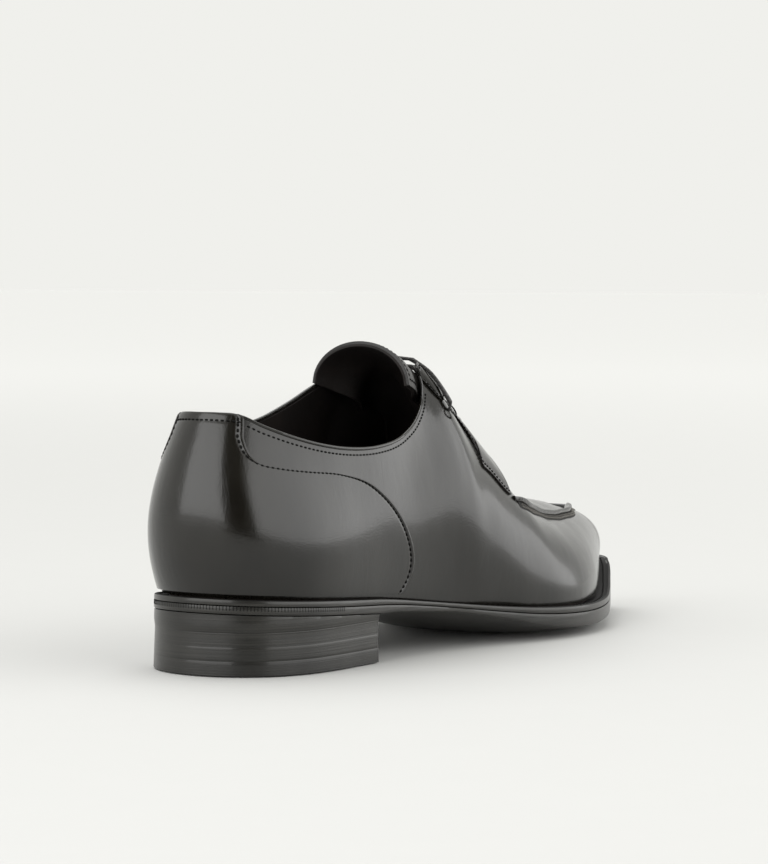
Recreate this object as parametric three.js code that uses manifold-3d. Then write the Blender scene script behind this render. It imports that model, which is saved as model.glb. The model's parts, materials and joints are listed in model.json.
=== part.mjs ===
import * as THREE from 'three';
import Module from 'manifold-3d';

const solids = await Module();
solids.setup();

// Lace-up dress shoe for the right foot: an apron-front derby on a stitched leather sole
// Millimetres, +Z up, +X to the toe, +Y to the inside of the foot
// The origin is the middle of the heel's flat base on the floor

// Driving sizes
const size = {
  length: 291,
  ballWidth: 102,
  heelWidth: 68.6,
  heelHeight: 22.4,
  heelLength: 70,
  heelFlare: 0.9,
  heelPitch: 1.6,
  heelInset: 0.6,
  ballPress: 0.7,
  toeSpring: 14.6,
  soleEdge: 8.4,
  soleCrown: 5,
  weltThickness: 2.6,
  weltLedge: 6,
  backHeight: 65.3,
  instepHeight: 92.6,
  collarWidth: 57.8,
  instepSwing: 9.3,
  wall: 1.8,
  overlay: 1.1,
  clearance: 0.3,
  tongueGap: 1.1,
  laceGap: 1.1,
  seamWidth: 3.4,
  seamHeight: 2.3,
  laceWidth: 4,
  laceThickness: 1.7,
  laceBars: 5,
  tongueThickness: 2.2,
  tongueWidth: 43,
  insoleThickness: 4.2,
  topPieceThickness: 5.5,
  liftCount: 2,
};

// Fineness of the facets
const fineness = { stations: 44, heights: 10, across: 6, seam: 48, heel: 30, counter: 24, facing: 20 };

// Places as shares: round the shoe from the heel's back, up a rib, or along the sole
const places = {
  toeFanFrom: 0.7,
  toeFanFull: 0.95,
  crestFrom: 0.55,
  crestFull: 0.64,
  crestHeld: 0.965,
  ballMiddle: 0.67,
  ballReach: 0.12,
  laceFirst: 0.4695,
  laceLast: 0.548,
  eyelet: 0.74,
  heelSeat: 0.78,
};

// How far a cutting form reaches past the overlay it cuts, and how much a cut's facets are eased
const cutting = { through: 2, over: 4, above: 3, eased: 0.05 };

// The heel seat's least thickness, and how far the sole's edge and the welt's stand in
const margins = { seat: 2, soleTop: 0.4, soleCorner: 0.5, weltTop: 0.9, weltSide: 0.4, weltBottom: 0.3 };

const tongueTurn = 88;

const radians = (degrees) => (degrees * Math.PI) / 180;
const mix = (a, b, share) => a + (b - a) * share;

// Rows with named columns
function table(columns, rows) {
  const names = columns.split(' ');
  return rows.map((row) => Object.fromEntries(names.map((name, i) => [name, row[i]])));
}

// A smooth line through rows of (at, value), with slopes from each row's two neighbours
function smoothLine(at, values) {
  const last = at.length - 1;
  const slope = [];
  for (let i = 0; i <= last; i += 1) {
    const before = i > 0 ? (values[i] - values[i - 1]) / (at[i] - at[i - 1]) : null;
    const after = i < last ? (values[i + 1] - values[i]) / (at[i + 1] - at[i]) : null;
    if (before === null) slope.push(after);
    else if (after === null) slope.push(before);
    else {
      const stepBefore = at[i] - at[i - 1];
      const stepAfter = at[i + 1] - at[i];
      slope.push((before * stepAfter + after * stepBefore) / (stepBefore + stepAfter));
    }
  }
  return (where) => {
    let i = 0;
    while (i < last - 1 && where > at[i + 1]) i += 1;
    const step = at[i + 1] - at[i];
    const u = (where - at[i]) / step;
    const u2 = u * u;
    const u3 = u2 * u;
    return (2 * u3 - 3 * u2 + 1) * values[i] + (u3 - 2 * u2 + u) * step * slope[i]
      + (3 * u2 - 2 * u3) * values[i + 1] + (u3 - u2) * step * slope[i + 1];
  };
}

// The same line run round the whole shoe: 0 heel, 1 toe by the outside, 2 heel again by the inside
function roundLine(at, outside, inside) {
  const last = at.length - 1;
  const places = [...at];
  const values = [...outside];
  for (let i = last - 1; i > 0; i -= 1) {
    places.push(2 - at[i]);
    values.push(inside[i]);
  }
  const count = places.length;
  const wrap = 4;
  const allPlaces = [];
  const allValues = [];
  for (let i = -wrap; i < count + wrap; i += 1) {
    const turn = Math.floor(i / count);
    const k = i - turn * count;
    allPlaces.push(places[k] + 2 * turn);
    allValues.push(values[k]);
  }
  const line = smoothLine(allPlaces, allValues);
  return (where) => line(((where % 2) + 2) % 2);
}

// Sole seen from above: shares of length, then half breadths as shares of heel width and ball width
const outlineRows = table(
  'at x heelOut ballOut heelIn ballIn',
  [
    [0, 0, 0, 0, 0, 0],
    [0.029, 0.0045, 0.138, 0, 0.138, 0],
    [0.059, 0.018, 0.268, 0, 0.268, 0],
    [0.095, 0.0464, 0.396, 0, 0.394, 0],
    [0.134, 0.086, 0.472, 0, 0.466, 0],
    [0.186, 0.144, 0.5, 0, 0.491, 0],
    [0.234, 0.199, 0.494, 0, 0.484, 0],
    [0.286, 0.258, 0.484, 0, 0.466, 0],
    [0.347, 0.326, 0, 0.325, 0, 0.298],
    [0.417, 0.405, 0, 0.351, 0, 0.3],
    [0.489, 0.485, 0, 0.402, 0, 0.339],
    [0.554, 0.557, 0, 0.45, 0, 0.406],
    [0.618, 0.629, 0, 0.474, 0, 0.478],
    [0.676, 0.694, 0, 0.455, 0, 0.522],
    [0.734, 0.757, 0, 0.398, 0, 0.53],
    [0.8, 0.822, 0, 0.302, 0, 0.502],
    [0.867, 0.887, 0, 0.193, 0, 0.446],
    [0.916, 0.936, 0, 0.11, 0, 0.392],
    [0.953, 0.97, 0, 0.045, 0, 0.338],
    [0.98, 0.992, 0, -0.016, 0, 0.262],
    [1, 1, 0, -0.12, 0, 0.12],
  ],
);

// Sole seen from the side: shares of heel height, toe spring, crown and edge height
const soleRows = table(
  'x heel spring crown edge welt',
  [
    [-0.01, 1.01, 0, 0, 0.631, 0.85],
    [0.069, 0.946, 0, 0, 0.631, 0.85],
    [0.137, 0.888, 0, 0, 0.631, 0.85],
    [0.206, 0.83, 0, 0, 0.631, 0.85],
    [0.247, 0.79, 0, 0.02, 0.631, 0.8],
    [0.289, 0.714, 0, 0.28, 0.536, 0.7],
    [0.326, 0.643, 0, 0.42, 0.488, 0.62],
    [0.405, 0.473, 0, 0.76, 0.405, 0.6],
    [0.485, 0.232, 0, 1.08, 0.536, 0.75],
    [0.557, 0.0625, 0, 1, 0.81, 0.95],
    [0.629, 0, 0, 0.8, 0.964, 1],
    [0.694, 0, 0, 0.68, 1, 1],
    [0.757, 0, 0.03, 0.7, 0.988, 1],
    [0.822, 0, 0.18, 0.56, 0.976, 1],
    [0.887, 0, 0.41, 0.4, 0.952, 1],
    [0.936, 0, 0.64, 0.22, 0.94, 1],
    [0.97, 0, 0.82, 0.12, 0.952, 1],
    [1.01, 0, 1.02, 0.04, 0.952, 1],
  ],
);

// Ribs of the last, each from the feather line to the collar or to the crest of the instep
// ledge: share of the welt's ledge. x, out, in: top of the rib, as shares of length and collar width
// swing: share of the instep's swing to the inside. back, rise: shares of back and instep height
// lean: degrees outward at the feather. low, high: pull of the rib at its two ends
// dropOut, dropIn: degrees below level at the top, outside and inside
const ribRows = table(
  'at ledge x out in swing backOut backIn riseOut riseIn lean low high dropOut dropIn',
  [
    [0, 0.5, 0.0268, 0, 0, 0, 1, 1, 0, 0, 20, 0.42, 0.42, 66, 66],
    [0.029, 0.5, 0.031, 0.116, 0.116, 0, 1, 1, 0, 0, 20, 0.42, 0.42, 66, 66],
    [0.059, 0.5, 0.0423, 0.22, 0.22, 0, 0.994, 0.994, 0, 0, 20, 0.42, 0.42, 68, 68],
    [0.095, 0.5, 0.062, 0.322, 0.318, 0, 0.944, 0.965, 0, 0, 18, 0.42, 0.4, 72, 72],
    [0.134, 0.467, 0.0945, 0.408, 0.398, 0, 0.897, 0.946, 0, 0, 16, 0.42, 0.38, 76, 74],
    [0.186, 0.433, 0.148, 0.476, 0.458, 0, 0, 0, 0.604, 0.658, 14, 0.42, 0.36, 80, 74],
    [0.234, 0.417, 0.201, 0.5, 0.481, 0, 0, 0, 0.596, 0.663, 12, 0.42, 0.36, 82, 74],
    [0.286, 0.4, 0.258, 0.502, 0.481, 0, 0, 0, 0.609, 0.693, 10, 0.42, 0.36, 80, 70],
    [0.347, 0.4, 0.325, 0.467, 0.443, 0, 0, 0, 0.669, 0.786, 10.5, 0.435, 0.364, 76, 66],
    [0.383, 0.417, 0.368, 0.415, 0.391, 0, 0, 0, 0.743, 0.869, 8.2, 0.445, 0.419, 64.5, 60],
    [0.417, 0.433, 0.407, 0.329, 0.318, 0, 0, 0, 0.843, 0.938, 7.2, 0.419, 0.456, 51.6, 52],
    [0.44, 0.467, 0.431, 0.235, 0.26, 0, 0, 0, 0.921, 0.975, 8.9, 0.291, 0.519, 41.4, 42],
    [0.462, 0.533, 0.4485, 0.131, 0.128, 0.22, 0, 0, 0.999, 1.005, 12, 0.21, 0.593, 31.7, 24],
    [0.489, 0.633, 0.4777, 0, 0, 0.48, 0, 0, 0.966, 0.966, 12.5, 0.498, 0.553, 0, 0],
    [0.554, 0.733, 0.536, 0, 0, 0.65, 0, 0, 0.802, 0.802, 7.1, 0.465, 0.538, 0, 0],
    [0.618, 0.833, 0.591, 0, 0, 0.81, 0, 0, 0.604, 0.604, 5.8, 0.497, 0.487, 0, 0],
    [0.676, 0.833, 0.6495, 0, 0, 0.91, 0, 0, 0.494, 0.494, 5.9, 0.544, 0.516, 0, 0],
    [0.734, 0.867, 0.7045, 0, 0, 0.97, 0, 0, 0.441, 0.441, 7.5, 0.567, 0.574, 0, 0],
    [0.8, 0.9, 0.756, 0, 0, 1, 0, 0, 0.414, 0.414, 10.4, 0.597, 0.62, 0, 0],
    [0.867, 0.92, 0.794, 0, 0, 1, 0, 0, 0.394, 0.394, 12, 0.63, 0.675, 0, 0],
    [0.916, 0.94, 0.818, 0, 0, 0.99, 0, 0, 0.38, 0.38, 14.1, 0.743, 0.538, 0, 0],
    [0.953, 0.95, 0.8316, 0, 0, 0.98, 0, 0, 0.369, 0.369, 19.8, 0.77, 0.513, 0, 0],
    [0.98, 0.95, 0.8385, 0, 0, 0.97, 0, 0, 0.363, 0.363, 14, 0.68, 0.68, 0, 0],
    [1, 0.95, 0.842, 0, 0, 0.97, 0, 0, 0.36, 0.36, 14, 0.68, 0.7, 0, 0],
  ],
);

const column = (rows, name) => rows.map((row) => row[name]);
const alongSole = (name) => smoothLine(column(soleRows, 'x'), column(soleRows, name));
const aroundOutline = (outside, inside) => roundLine(column(outlineRows, 'at'), outside, inside);
const aroundRibs = (outName, inName) => (
  roundLine(column(ribRows, 'at'), column(ribRows, outName), column(ribRows, inName))
);

const outlineX = aroundOutline(column(outlineRows, 'x'), column(outlineRows, 'x'));
const outlineY = aroundOutline(
  outlineRows.map((row) => -row.heelOut * size.heelWidth - row.ballOut * size.ballWidth),
  outlineRows.map((row) => row.heelIn * size.heelWidth + row.ballIn * size.ballWidth),
);
const sole = {
  heel: alongSole('heel'),
  spring: alongSole('spring'),
  crown: alongSole('crown'),
  edge: alongSole('edge'),
  welt: alongSole('welt'),
};
const rib = {
  ledge: aroundRibs('ledge', 'ledge'),
  x: aroundRibs('x', 'x'),
  out: roundLine(
    column(ribRows, 'at'),
    ribRows.map((row) => -row.out * size.collarWidth + row.swing * size.instepSwing),
    ribRows.map((row) => row.in * size.collarWidth + row.swing * size.instepSwing),
  ),
  back: aroundRibs('backOut', 'backIn'),
  rise: aroundRibs('riseOut', 'riseIn'),
  lean: aroundRibs('lean', 'lean'),
  low: aroundRibs('low', 'low'),
  high: aroundRibs('high', 'high'),
  drop: aroundRibs('dropOut', 'dropIn'),
};

// Heights of the sole over the floor at a distance x from the heel's back
const soleMiddle = (x) => (
  sole.heel(x / size.length) * size.heelHeight + sole.spring(x / size.length) * size.toeSpring
);
const soleCorner = (x) => soleMiddle(x) + sole.crown(x / size.length) * size.soleCrown;
const soleTop = (x) => soleCorner(x) + sole.edge(x / size.length) * size.soleEdge;
const weltBottom = (x) => soleTop(x) - sole.welt(x / size.length) * size.weltThickness;

const outlineStep = 0.001;

function outlinePoint(at) {
  return new THREE.Vector3(outlineX(at) * size.length, outlineY(at), 0);
}

function outlineNormal(at) {
  const run = outlinePoint(at + outlineStep).sub(outlinePoint(at - outlineStep));
  return new THREE.Vector3(run.y, -run.x, 0).normalize();
}

// The outline moved inwards
function insetPoint(at, inset) {
  return outlinePoint(at).addScaledVector(outlineNormal(at), -inset);
}

const ledgeAt = (at) => rib.ledge(at) * size.weltLedge;

// The way a rib leaves its top: square to the outline, but straight from the fan's middle at the toe
function fanned(at, outward, foot, top) {
  const toe = THREE.MathUtils.smoothstep(
    Math.min(at, 2 - at),
    places.toeFanFrom,
    places.toeFanFull,
  );
  const chord = new THREE.Vector3(foot.x - top.x, foot.y - top.y, 0).normalize();
  return outward.clone().lerp(chord, toe).normalize();
}

// The crest's own slope in the way a rib leaves it, so that both sides meet without a crease
function crestFall(at, away) {
  const side = Math.min(at, 2 - at);
  const near = Math.min(side, places.crestHeld);
  const step = 0.012;
  const crest = (where) => {
    const point = new THREE.Vector3(rib.x(where) * size.length, rib.out(where), 0);
    point.z = soleTop(point.x) + rib.rise(where) * size.instepHeight;
    return point;
  };
  const run = crest(near + step).sub(crest(near - step));
  const level = Math.hypot(run.x, run.y);
  const along = (away.x * run.x + away.y * run.y) / level;
  const share = THREE.MathUtils.smoothstep(side, places.crestFrom, places.crestFull);
  return share * (run.z / level) * along;
}

// A point on the last's surface: at runs round the shoe, h from the feather line up the rib
function ribPoint(at, h) {
  const outward = outlineNormal(at);
  const foot = insetPoint(at, ledgeAt(at));
  foot.z = soleTop(foot.x) + size.clearance;
  const top = new THREE.Vector3(rib.x(at) * size.length, rib.out(at), 0);
  top.z = soleTop(top.x) + rib.back(at) * size.backHeight + rib.rise(at) * size.instepHeight;
  const height = top.z - foot.z;
  const reach = Math.hypot(top.x - foot.x, top.y - foot.y);
  const lean = radians(rib.lean(at));
  const drop = radians(rib.drop(at));
  const lowPull = rib.low(at) * height;
  const highPull = rib.high(at) * (reach * Math.cos(drop) + height * Math.sin(drop));
  const low = foot.clone().addScaledVector(outward, lowPull * Math.sin(lean));
  low.z += lowPull * Math.cos(lean);
  const away = fanned(at, outward, foot, top);
  const high = top.clone().addScaledVector(away, highPull * Math.cos(drop));
  high.z += highPull * Math.cos(drop) * crestFall(at, away);
  high.z -= highPull * Math.sin(drop);
  const k = 1 - h;
  return foot.multiplyScalar(k * k * k)
    .addScaledVector(low, 3 * k * k * h)
    .addScaledVector(high, 3 * k * h * h)
    .addScaledVector(top, h * h * h);
}

function lastNormal(at, h) {
  const step = 0.002;
  const alongShoe = ribPoint(at + step, h).sub(ribPoint(at - step, h));
  const upRib = ribPoint(at, Math.min(h + step, 1)).sub(ribPoint(at, Math.max(h - step, 0)));
  return alongShoe.cross(upRib).normalize();
}

// The same surface moved off the last; both sides agree on the crest
function lastPoint(at, h, off) {
  const normal = lastNormal(at, h);
  if (h > 0.999) normal.add(lastNormal(2 - at, h)).normalize();
  return ribPoint(at, h).addScaledVector(normal, off);
}

// Gathers facets into one closed solid
class Facets {
  constructor() {
    this.points = [];
    this.indexOf = new Map();
    this.faces = [];
  }

  index(point) {
    const key = [point.x, point.y, point.z].map((value) => Math.round(value * 1000)).join();
    if (!this.indexOf.has(key)) {
      this.indexOf.set(key, this.points.length);
      this.points.push(point);
    }
    return this.indexOf.get(key);
  }

  triangle(a, b, c) {
    const face = [this.index(a), this.index(b), this.index(c)];
    if (face[0] === face[1] || face[1] === face[2] || face[2] === face[0]) return;
    this.faces.push(face);
  }

  quad(a, b, c, d) {
    this.triangle(a, b, c);
    this.triangle(a, c, d);
  }

  // Rows of points as a sheet; turned flips its facing
  sheet(rows, turned = false) {
    for (let i = 0; i + 1 < rows.length; i += 1) {
      for (let j = 0; j + 1 < rows[i].length; j += 1) {
        const corners = [rows[i][j], rows[i + 1][j], rows[i + 1][j + 1], rows[i][j + 1]];
        if (turned) corners.reverse();
        this.quad(...corners);
      }
    }
  }

  // A bar through rings of points, with both ends closed
  tube(rings) {
    this.sheet(rings.map((ring) => [...ring, ring[0]]));
    const last = rings[rings.length - 1];
    for (let i = 1; i + 1 < last.length; i += 1) {
      this.triangle(rings[0][0], rings[0][i], rings[0][i + 1]);
      this.triangle(last[0], last[i + 1], last[i]);
    }
  }

  // A flat lid over a ring of points that is simple from above
  lid(ring, turned = false) {
    const flat = ring.map((point) => new THREE.Vector2(point.x, point.y));
    THREE.ShapeUtils.triangulateShape(flat, []).forEach(([a, b, c]) => {
      const face = [ring[a], ring[b], ring[c]];
      if (turned) face.reverse();
      this.triangle(...face);
    });
  }

  solid() {
    const { faces } = this.outward();
    return new solids.Manifold(new solids.Mesh({
      numProp: 3,
      vertProperties: Float32Array.from(this.points.flatMap((point) => [point.x, point.y, point.z])),
      triVerts: Uint32Array.from(faces.flat()),
    }));
  }

  outward() {
    let volume = 0;
    this.faces.forEach(([a, b, c]) => {
      volume += this.points[a].dot(this.points[b].clone().cross(this.points[c]));
    });
    return { faces: volume < 0 ? this.faces.map(([a, b, c]) => [a, c, b]) : this.faces };
  }

  mesh(name, material) {
    const places = this.points.flatMap((point) => [point.x, point.y, point.z]);
    return namedMesh(name, material, places, this.outward().faces.flat());
  }
}

function namedMesh(name, material, places, indices) {
  const geometry = new THREE.BufferGeometry();
  geometry.setAttribute('position', new THREE.Float32BufferAttribute(places, 3));
  geometry.setIndex(indices);
  geometry.computeVertexNormals();
  const mesh = new THREE.Mesh(geometry, material);
  mesh.name = name;
  return mesh;
}

// The part of a shell that lies inside a cutting form
function cutFrom(name, material, shell, cutter) {
  const pieces = shell.solid().intersect(cutter.solid()).simplify(cutting.eased).decompose();
  pieces.sort((a, b) => b.volume() - a.volume());
  const cut = pieces[0].getMesh();
  return namedMesh(name, material, Array.from(cut.vertProperties), Array.from(cut.triVerts));
}

const steps = (count) => Array.from({ length: count + 1 }, (_, i) => i / count);

const material = (color, roughness) => new THREE.MeshStandardMaterial({ color, roughness, metalness: 0 });
const materials = {
  calf: material(0x33302b, 0.25),
  lining: material(0x1d1510, 0.7),
  edge: material(0x3d3a33, 0.35),
  welt: material(0x14120f, 0.5),
  lace: material(0x16130f, 0.6),
  rubber: material(0x23211e, 0.8),
};

// Stations of the shoe's length, closer together where the outline bends
const stationAt = steps(fineness.stations).map((share) => (
  share - 0.035 * Math.sin(4 * Math.PI * share) * 0.5
));

// Seams and edges as rows of (at, h) on the last
const counterSeam = table(
  'at h back',
  [
    [0.065, 1, 1],
    [0.065, 0.93, 0.94],
    [0.065, 0.88, 0.89],
    [0.073, 0.803, 0.83],
    [0.088, 0.767, 0.79],
    [0.118, 0.773, 0.76],
    [0.155, 0.793, 0.73],
    [0.205, 0.81, 0.7],
    [0.25, 0.767, 0.65],
    [0.285, 0.647, 0.56],
    [0.313, 0.487, 0.44],
    [0.33, 0.333, 0.31],
    [0.337, 0.21, 0.2],
    [0.333, 0.11, 0.11],
    [0.32, 0.025, 0.025],
  ],
);
// Facing: its seam on the quarter, and the edge along the lacing gap
const facingRows = table(
  'seamAt seamH edgeAt edgeH',
  [
    [0.438, 0.995, 0.446, 1],
    [0.452, 0.87, 0.462, 0.975],
    [0.468, 0.79, 0.477, 0.91],
    [0.487, 0.72, 0.495, 0.88],
    [0.5, 0.66, 0.512, 0.88],
    [0.508, 0.6, 0.528, 0.88],
    [0.511, 0.53, 0.544, 0.88],
    [0.509, 0.47, 0.558, 0.88],
    [0.502, 0.41, 0.57, 0.88],
    [0.53, 0.412, 0.58, 0.88],
    [0.556, 0.423, 0.586, 0.88],
  ],
);
// Front edge of the quarters, from the slot's end down to the start of the raised seam
const quarterFront = table(
  'at h',
  [
    [0.586, 0.88],
    [0.574, 0.75],
    [0.561, 0.567],
    [0.556, 0.423],
  ],
);
const apronSeam = table(
  'at h',
  [
    [0.564, 0.42],
    [0.575, 0.43],
    [0.61, 0.475],
    [0.657, 0.555],
    [0.712, 0.603],
    [0.78, 0.622],
    [0.85, 0.635],
    [0.905, 0.65],
    [0.95, 0.66],
    [1, 0.665],
  ],
);

// Top of the upper's wall at each station: collar, lacing gap, then closed over the toe
const slotStart = facingRows[0].edgeAt;
const slotEnd = quarterFront[0].at;
const slotEdge = smoothLine(column(facingRows, 'edgeAt'), column(facingRows, 'edgeH'));
function wallTop(at) {
  if (at <= slotStart) return 1;
  if (at < slotEnd + 0.0005) return Math.min(1, slotEdge(at));
  return 1;
}

// The stations of the upper's wall, with the slot's blunt end on two of them
const wallStations = [
  ...stationAt.filter((at) => at < slotEnd - 0.006),
  slotEnd,
  slotEnd + 0.006,
  ...stationAt.filter((at) => at > slotEnd + 0.012),
];
const wallHeights = steps(fineness.heights);

// One rib of the wall, from the feather line to its top, moved off by a distance
function wallRow(at, side, off) {
  const round = side > 0 ? at : 2 - at;
  return wallHeights.map((share) => lastPoint(round, share * wallTop(at), off));
}

// The upper: one hollow wall round the foot, open at the collar, along the lacing and underneath
function makeUpper() {
  const facets = new Facets();
  const open = wallStations.filter((at) => at < slotEnd + 0.008).length;
  const top = wallHeights.length - 1;
  [1, -1].forEach((side) => {
    const turned = side < 0;
    const outer = wallStations.map((at) => wallRow(at, side, 0));
    const inner = wallStations.map((at) => wallRow(at, side, -size.wall));
    facets.sheet(outer, turned);
    facets.sheet(inner, !turned);
    facets.sheet([inner.map((row) => row[0]), outer.map((row) => row[0])], !turned);
    const openOuter = outer.slice(0, open).map((row) => row[top]);
    const openInner = inner.slice(0, open).map((row) => row[top]);
    facets.sheet([openOuter, openInner], !turned);
  });
  return facets.mesh('upper', materials.calf);
}

// A shell just off the upper's wall, of its own facets, from which the overlays are cut
function overlayShell(rows) {
  const facets = new Facets();
  const [inner, outer] = [size.clearance, size.clearance + size.overlay].map((off) => (
    rows.map(([at, side]) => wallRow(at, side, off))
  ));
  closeSheets(facets, outer, inner);
  return facets;
}

// Two sheets and the four edges between them
function closeSheets(facets, outer, inner) {
  const last = outer.length - 1;
  const end = outer[0].length - 1;
  facets.sheet(outer);
  facets.sheet(inner, true);
  facets.sheet([inner[0], outer[0]]);
  facets.sheet([outer[last], inner[last]]);
  facets.sheet([outer.map((row) => row[0]), inner.map((row) => row[0])]);
  facets.sheet([inner.map((row) => row[end]), outer.map((row) => row[end])]);
}

// A cutting form through the shell, its edges running along the overlay's seams
function overlayCutter(rowsAt) {
  const facets = new Facets();
  const [inner, outer] = [-cutting.through, size.overlay + cutting.through].map((off) => rowsAt(off));
  closeSheets(facets, outer, inner);
  return facets;
}

// The counter: the back panel laid over the quarters, with its swept seam on both sides
function makeCounter() {
  const rowOf = counterSeam.map((_, i) => i);
  const seamAt = smoothLine(rowOf, column(counterSeam, 'at'));
  const seamH = smoothLine(rowOf, column(counterSeam, 'h'));
  const backH = smoothLine(rowOf, column(counterSeam, 'back'));
  const across = steps(2 * fineness.across + 4).map((share) => 2 * share - 1);
  const cutter = overlayCutter((off) => {
    const rows = steps(fineness.counter).map((v) => {
      const row = v * (counterSeam.length - 1);
      return across.map((u) => {
        const h = mix(backH(row), seamH(row), Math.abs(u));
        return lastPoint(u * seamAt(row), Math.min(1, h), off);
      });
    });
    const above = rows[0].map((point) => point.clone().setZ(point.z + cutting.above));
    return [above, ...rows];
  });
  const reach = wallStations.filter((at) => at < 0.4);
  const shell = overlayShell([
    ...reach.slice(1).reverse().map((at) => [at, -1]),
    ...reach.map((at) => [at, 1]),
  ]);
  return cutFrom('counter', materials.calf, shell, cutter);
}

// A facing: the panel that carries the lacing, laid over the quarter
function makeFacing(name, side) {
  const rowOf = facingRows.map((_, i) => i);
  const line = (key) => smoothLine(rowOf, column(facingRows, key));
  const seamAt = line('seamAt');
  const seamH = line('seamH');
  const edgeAt = line('edgeAt');
  const edgeH = line('edgeH');
  const front = smoothLine(column(quarterFront, 'h').reverse(), column(quarterFront, 'at').reverse());
  const cutter = overlayCutter((off) => steps(fineness.facing).map((v) => {
    const row = v * (facingRows.length - 1);
    const points = steps(fineness.across).map((u) => {
      const h = Math.min(1, mix(seamH(row), edgeH(row), u));
      const at = v > 0.999 ? front(h) : mix(seamAt(row), edgeAt(row), u);
      return lastPoint(side > 0 ? at : 2 - at, h, off);
    });
    const last = points[points.length - 1];
    const onward = last.clone().sub(points[points.length - 2]).setLength(cutting.over);
    return [...points, last.clone().add(onward)];
  }));
  const reach = wallStations.filter((at) => at > 0.4 && at < slotEnd + 0.008);
  const shell = overlayShell(reach.map((at) => [at, side]));
  return cutFrom(name, materials.calf, shell, cutter);
}

// The raised seam where the apron is sewn to the vamp's wall
function makeApronSeam() {
  const facets = new Facets();
  const seamH = smoothLine(column(apronSeam, 'at'), column(apronSeam, 'h'));
  const first = apronSeam[0].at;
  const profile = [[-1, 0], [-0.9, 0.5], [-0.4, 1], [0.4, 1], [0.9, 0.5], [1, 0]];
  const rings = [];
  steps(fineness.seam).forEach((share) => {
    const round = mix(first, 2 - first, share);
    const at = Math.min(round, 2 - round);
    const h = seamH(at);
    const perH = lastPoint(round, h + 0.01, 0).distanceTo(lastPoint(round, h - 0.01, 0)) / 0.02;
    const half = size.seamWidth / 2 / perH;
    rings.push(profile.map(([across, up]) => (
      lastPoint(round, h + across * half, size.clearance + up * size.seamHeight)
    )));
  });
  facets.tube(rings);
  return facets.mesh('apron_seam', materials.calf);
}

// The tongue: under the facings it follows the last, above them it stands in a free arch
const tongueRows = table(
  'at side',
  [
    [0.612, 0.62],
    [0.585, 0.62],
    [0.56, 0.62],
    [0.535, 0.64],
    [0.51, 0.66],
    [0.487, 0.68],
  ],
);
const tongueTop = table(
  'x y rise width drop',
  [
    [0.445, 0.1, 0.98, 0.78, 0.88],
    [0.42, 0.02, 1.02, 0.7, 0.84],
    [0.39, 0, 1.055, 0.93, 0.8],
    [0.364, 0.06, 1.08, 1.04, 0.78],
  ],
);
function makeTongue() {
  const outerOff = -size.wall - size.tongueGap;
  const innerOff = outerOff - size.tongueThickness;
  const across = steps(12).map((share) => 2 * share - 1);
  const nested = (row, off) => across.map((u) => {
    const at = u < 0 ? row.at : 2 - row.at;
    return lastPoint(at, 1 - Math.abs(u) * (1 - row.side), off);
  });
  const arch = (row, thinner) => across.map((u) => {
    const half = row.width * size.tongueWidth / 2 - thinner;
    const crest = soleTop(size.length * ribRows[12].x) + row.rise * size.instepHeight - thinner;
    const turn = u * radians(tongueTurn);
    const drop = row.drop * size.tongueWidth / 2;
    return new THREE.Vector3(
      row.x * size.length,
      row.y * size.instepSwing + half * Math.sin(turn),
      crest - drop * (1 - Math.cos(turn)),
    );
  });
  const outer = [
    ...tongueRows.map((row) => nested(row, outerOff)),
    ...tongueTop.map((row) => arch(row, 0)),
  ];
  const inner = [
    ...tongueRows.map((row) => nested(row, innerOff)),
    ...tongueTop.map((row) => arch(row, size.tongueThickness)),
  ];
  const facets = new Facets();
  closeSheets(facets, outer, inner);
  return facets.mesh('tongue', materials.lining);
}

// A lace bar: from one facing over the gap to the other, its ends turned down to the eyelets
function makeLaceBar(number) {
  const share = size.laceBars > 1 ? (number - 1) / (size.laceBars - 1) : 0;
  const at = mix(places.laceFirst, places.laceLast, share);
  const facets = new Facets();
  const rest = size.overlay + size.laceGap;
  const half = size.laceWidth / 2;
  const along = ribPoint(at + 0.01, 1).sub(ribPoint(at - 0.01, 1)).normalize();
  const profile = [[-1, 0.5], [-0.6, 0], [0.6, 0], [1, 0.5], [0.6, 1], [-0.6, 1]];
  const rings = steps(12).map((turn) => {
    const u = 2 * turn - 1;
    const place = u < 0 ? at : 2 - at;
    const h = 1 - Math.abs(u) * (1 - places.eyelet);
    return profile.map(([x, up]) => (
      lastPoint(place, h, rest + up * size.laceThickness).addScaledVector(along, x * half)
    ));
  });
  facets.tube(rings);
  return facets.mesh(`lace_bar_${number}`, materials.lace);
}

// The line under the middle of the foot where the two sides of the sole meet
const spineX = smoothLine([0, 0.15, 0.35, 0.65, 0.85, 1], [0.08, 0.14, 0.33, 0.66, 0.86, 0.93]);
const spineY = smoothLine([0, 0.25, 0.45, 0.7, 1], [0, 0, 0.35, 0.9, 0.97]);
function spinePoint(at) {
  const x = spineX(at);
  return new THREE.Vector3(x * size.length, spineY(x) * size.instepSwing, 0);
}

// A flat-lying solid from a ring profile at each station: inset, and height as a function of x
function soleSolid(name, paint, profile) {
  const facets = new Facets();
  [1, -1].forEach((side) => {
    const rows = stationAt.map((at) => profile(at, side > 0 ? at : 2 - at));
    facets.sheet(rows, side < 0);
  });
  return facets.mesh(name, paint);
}

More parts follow.
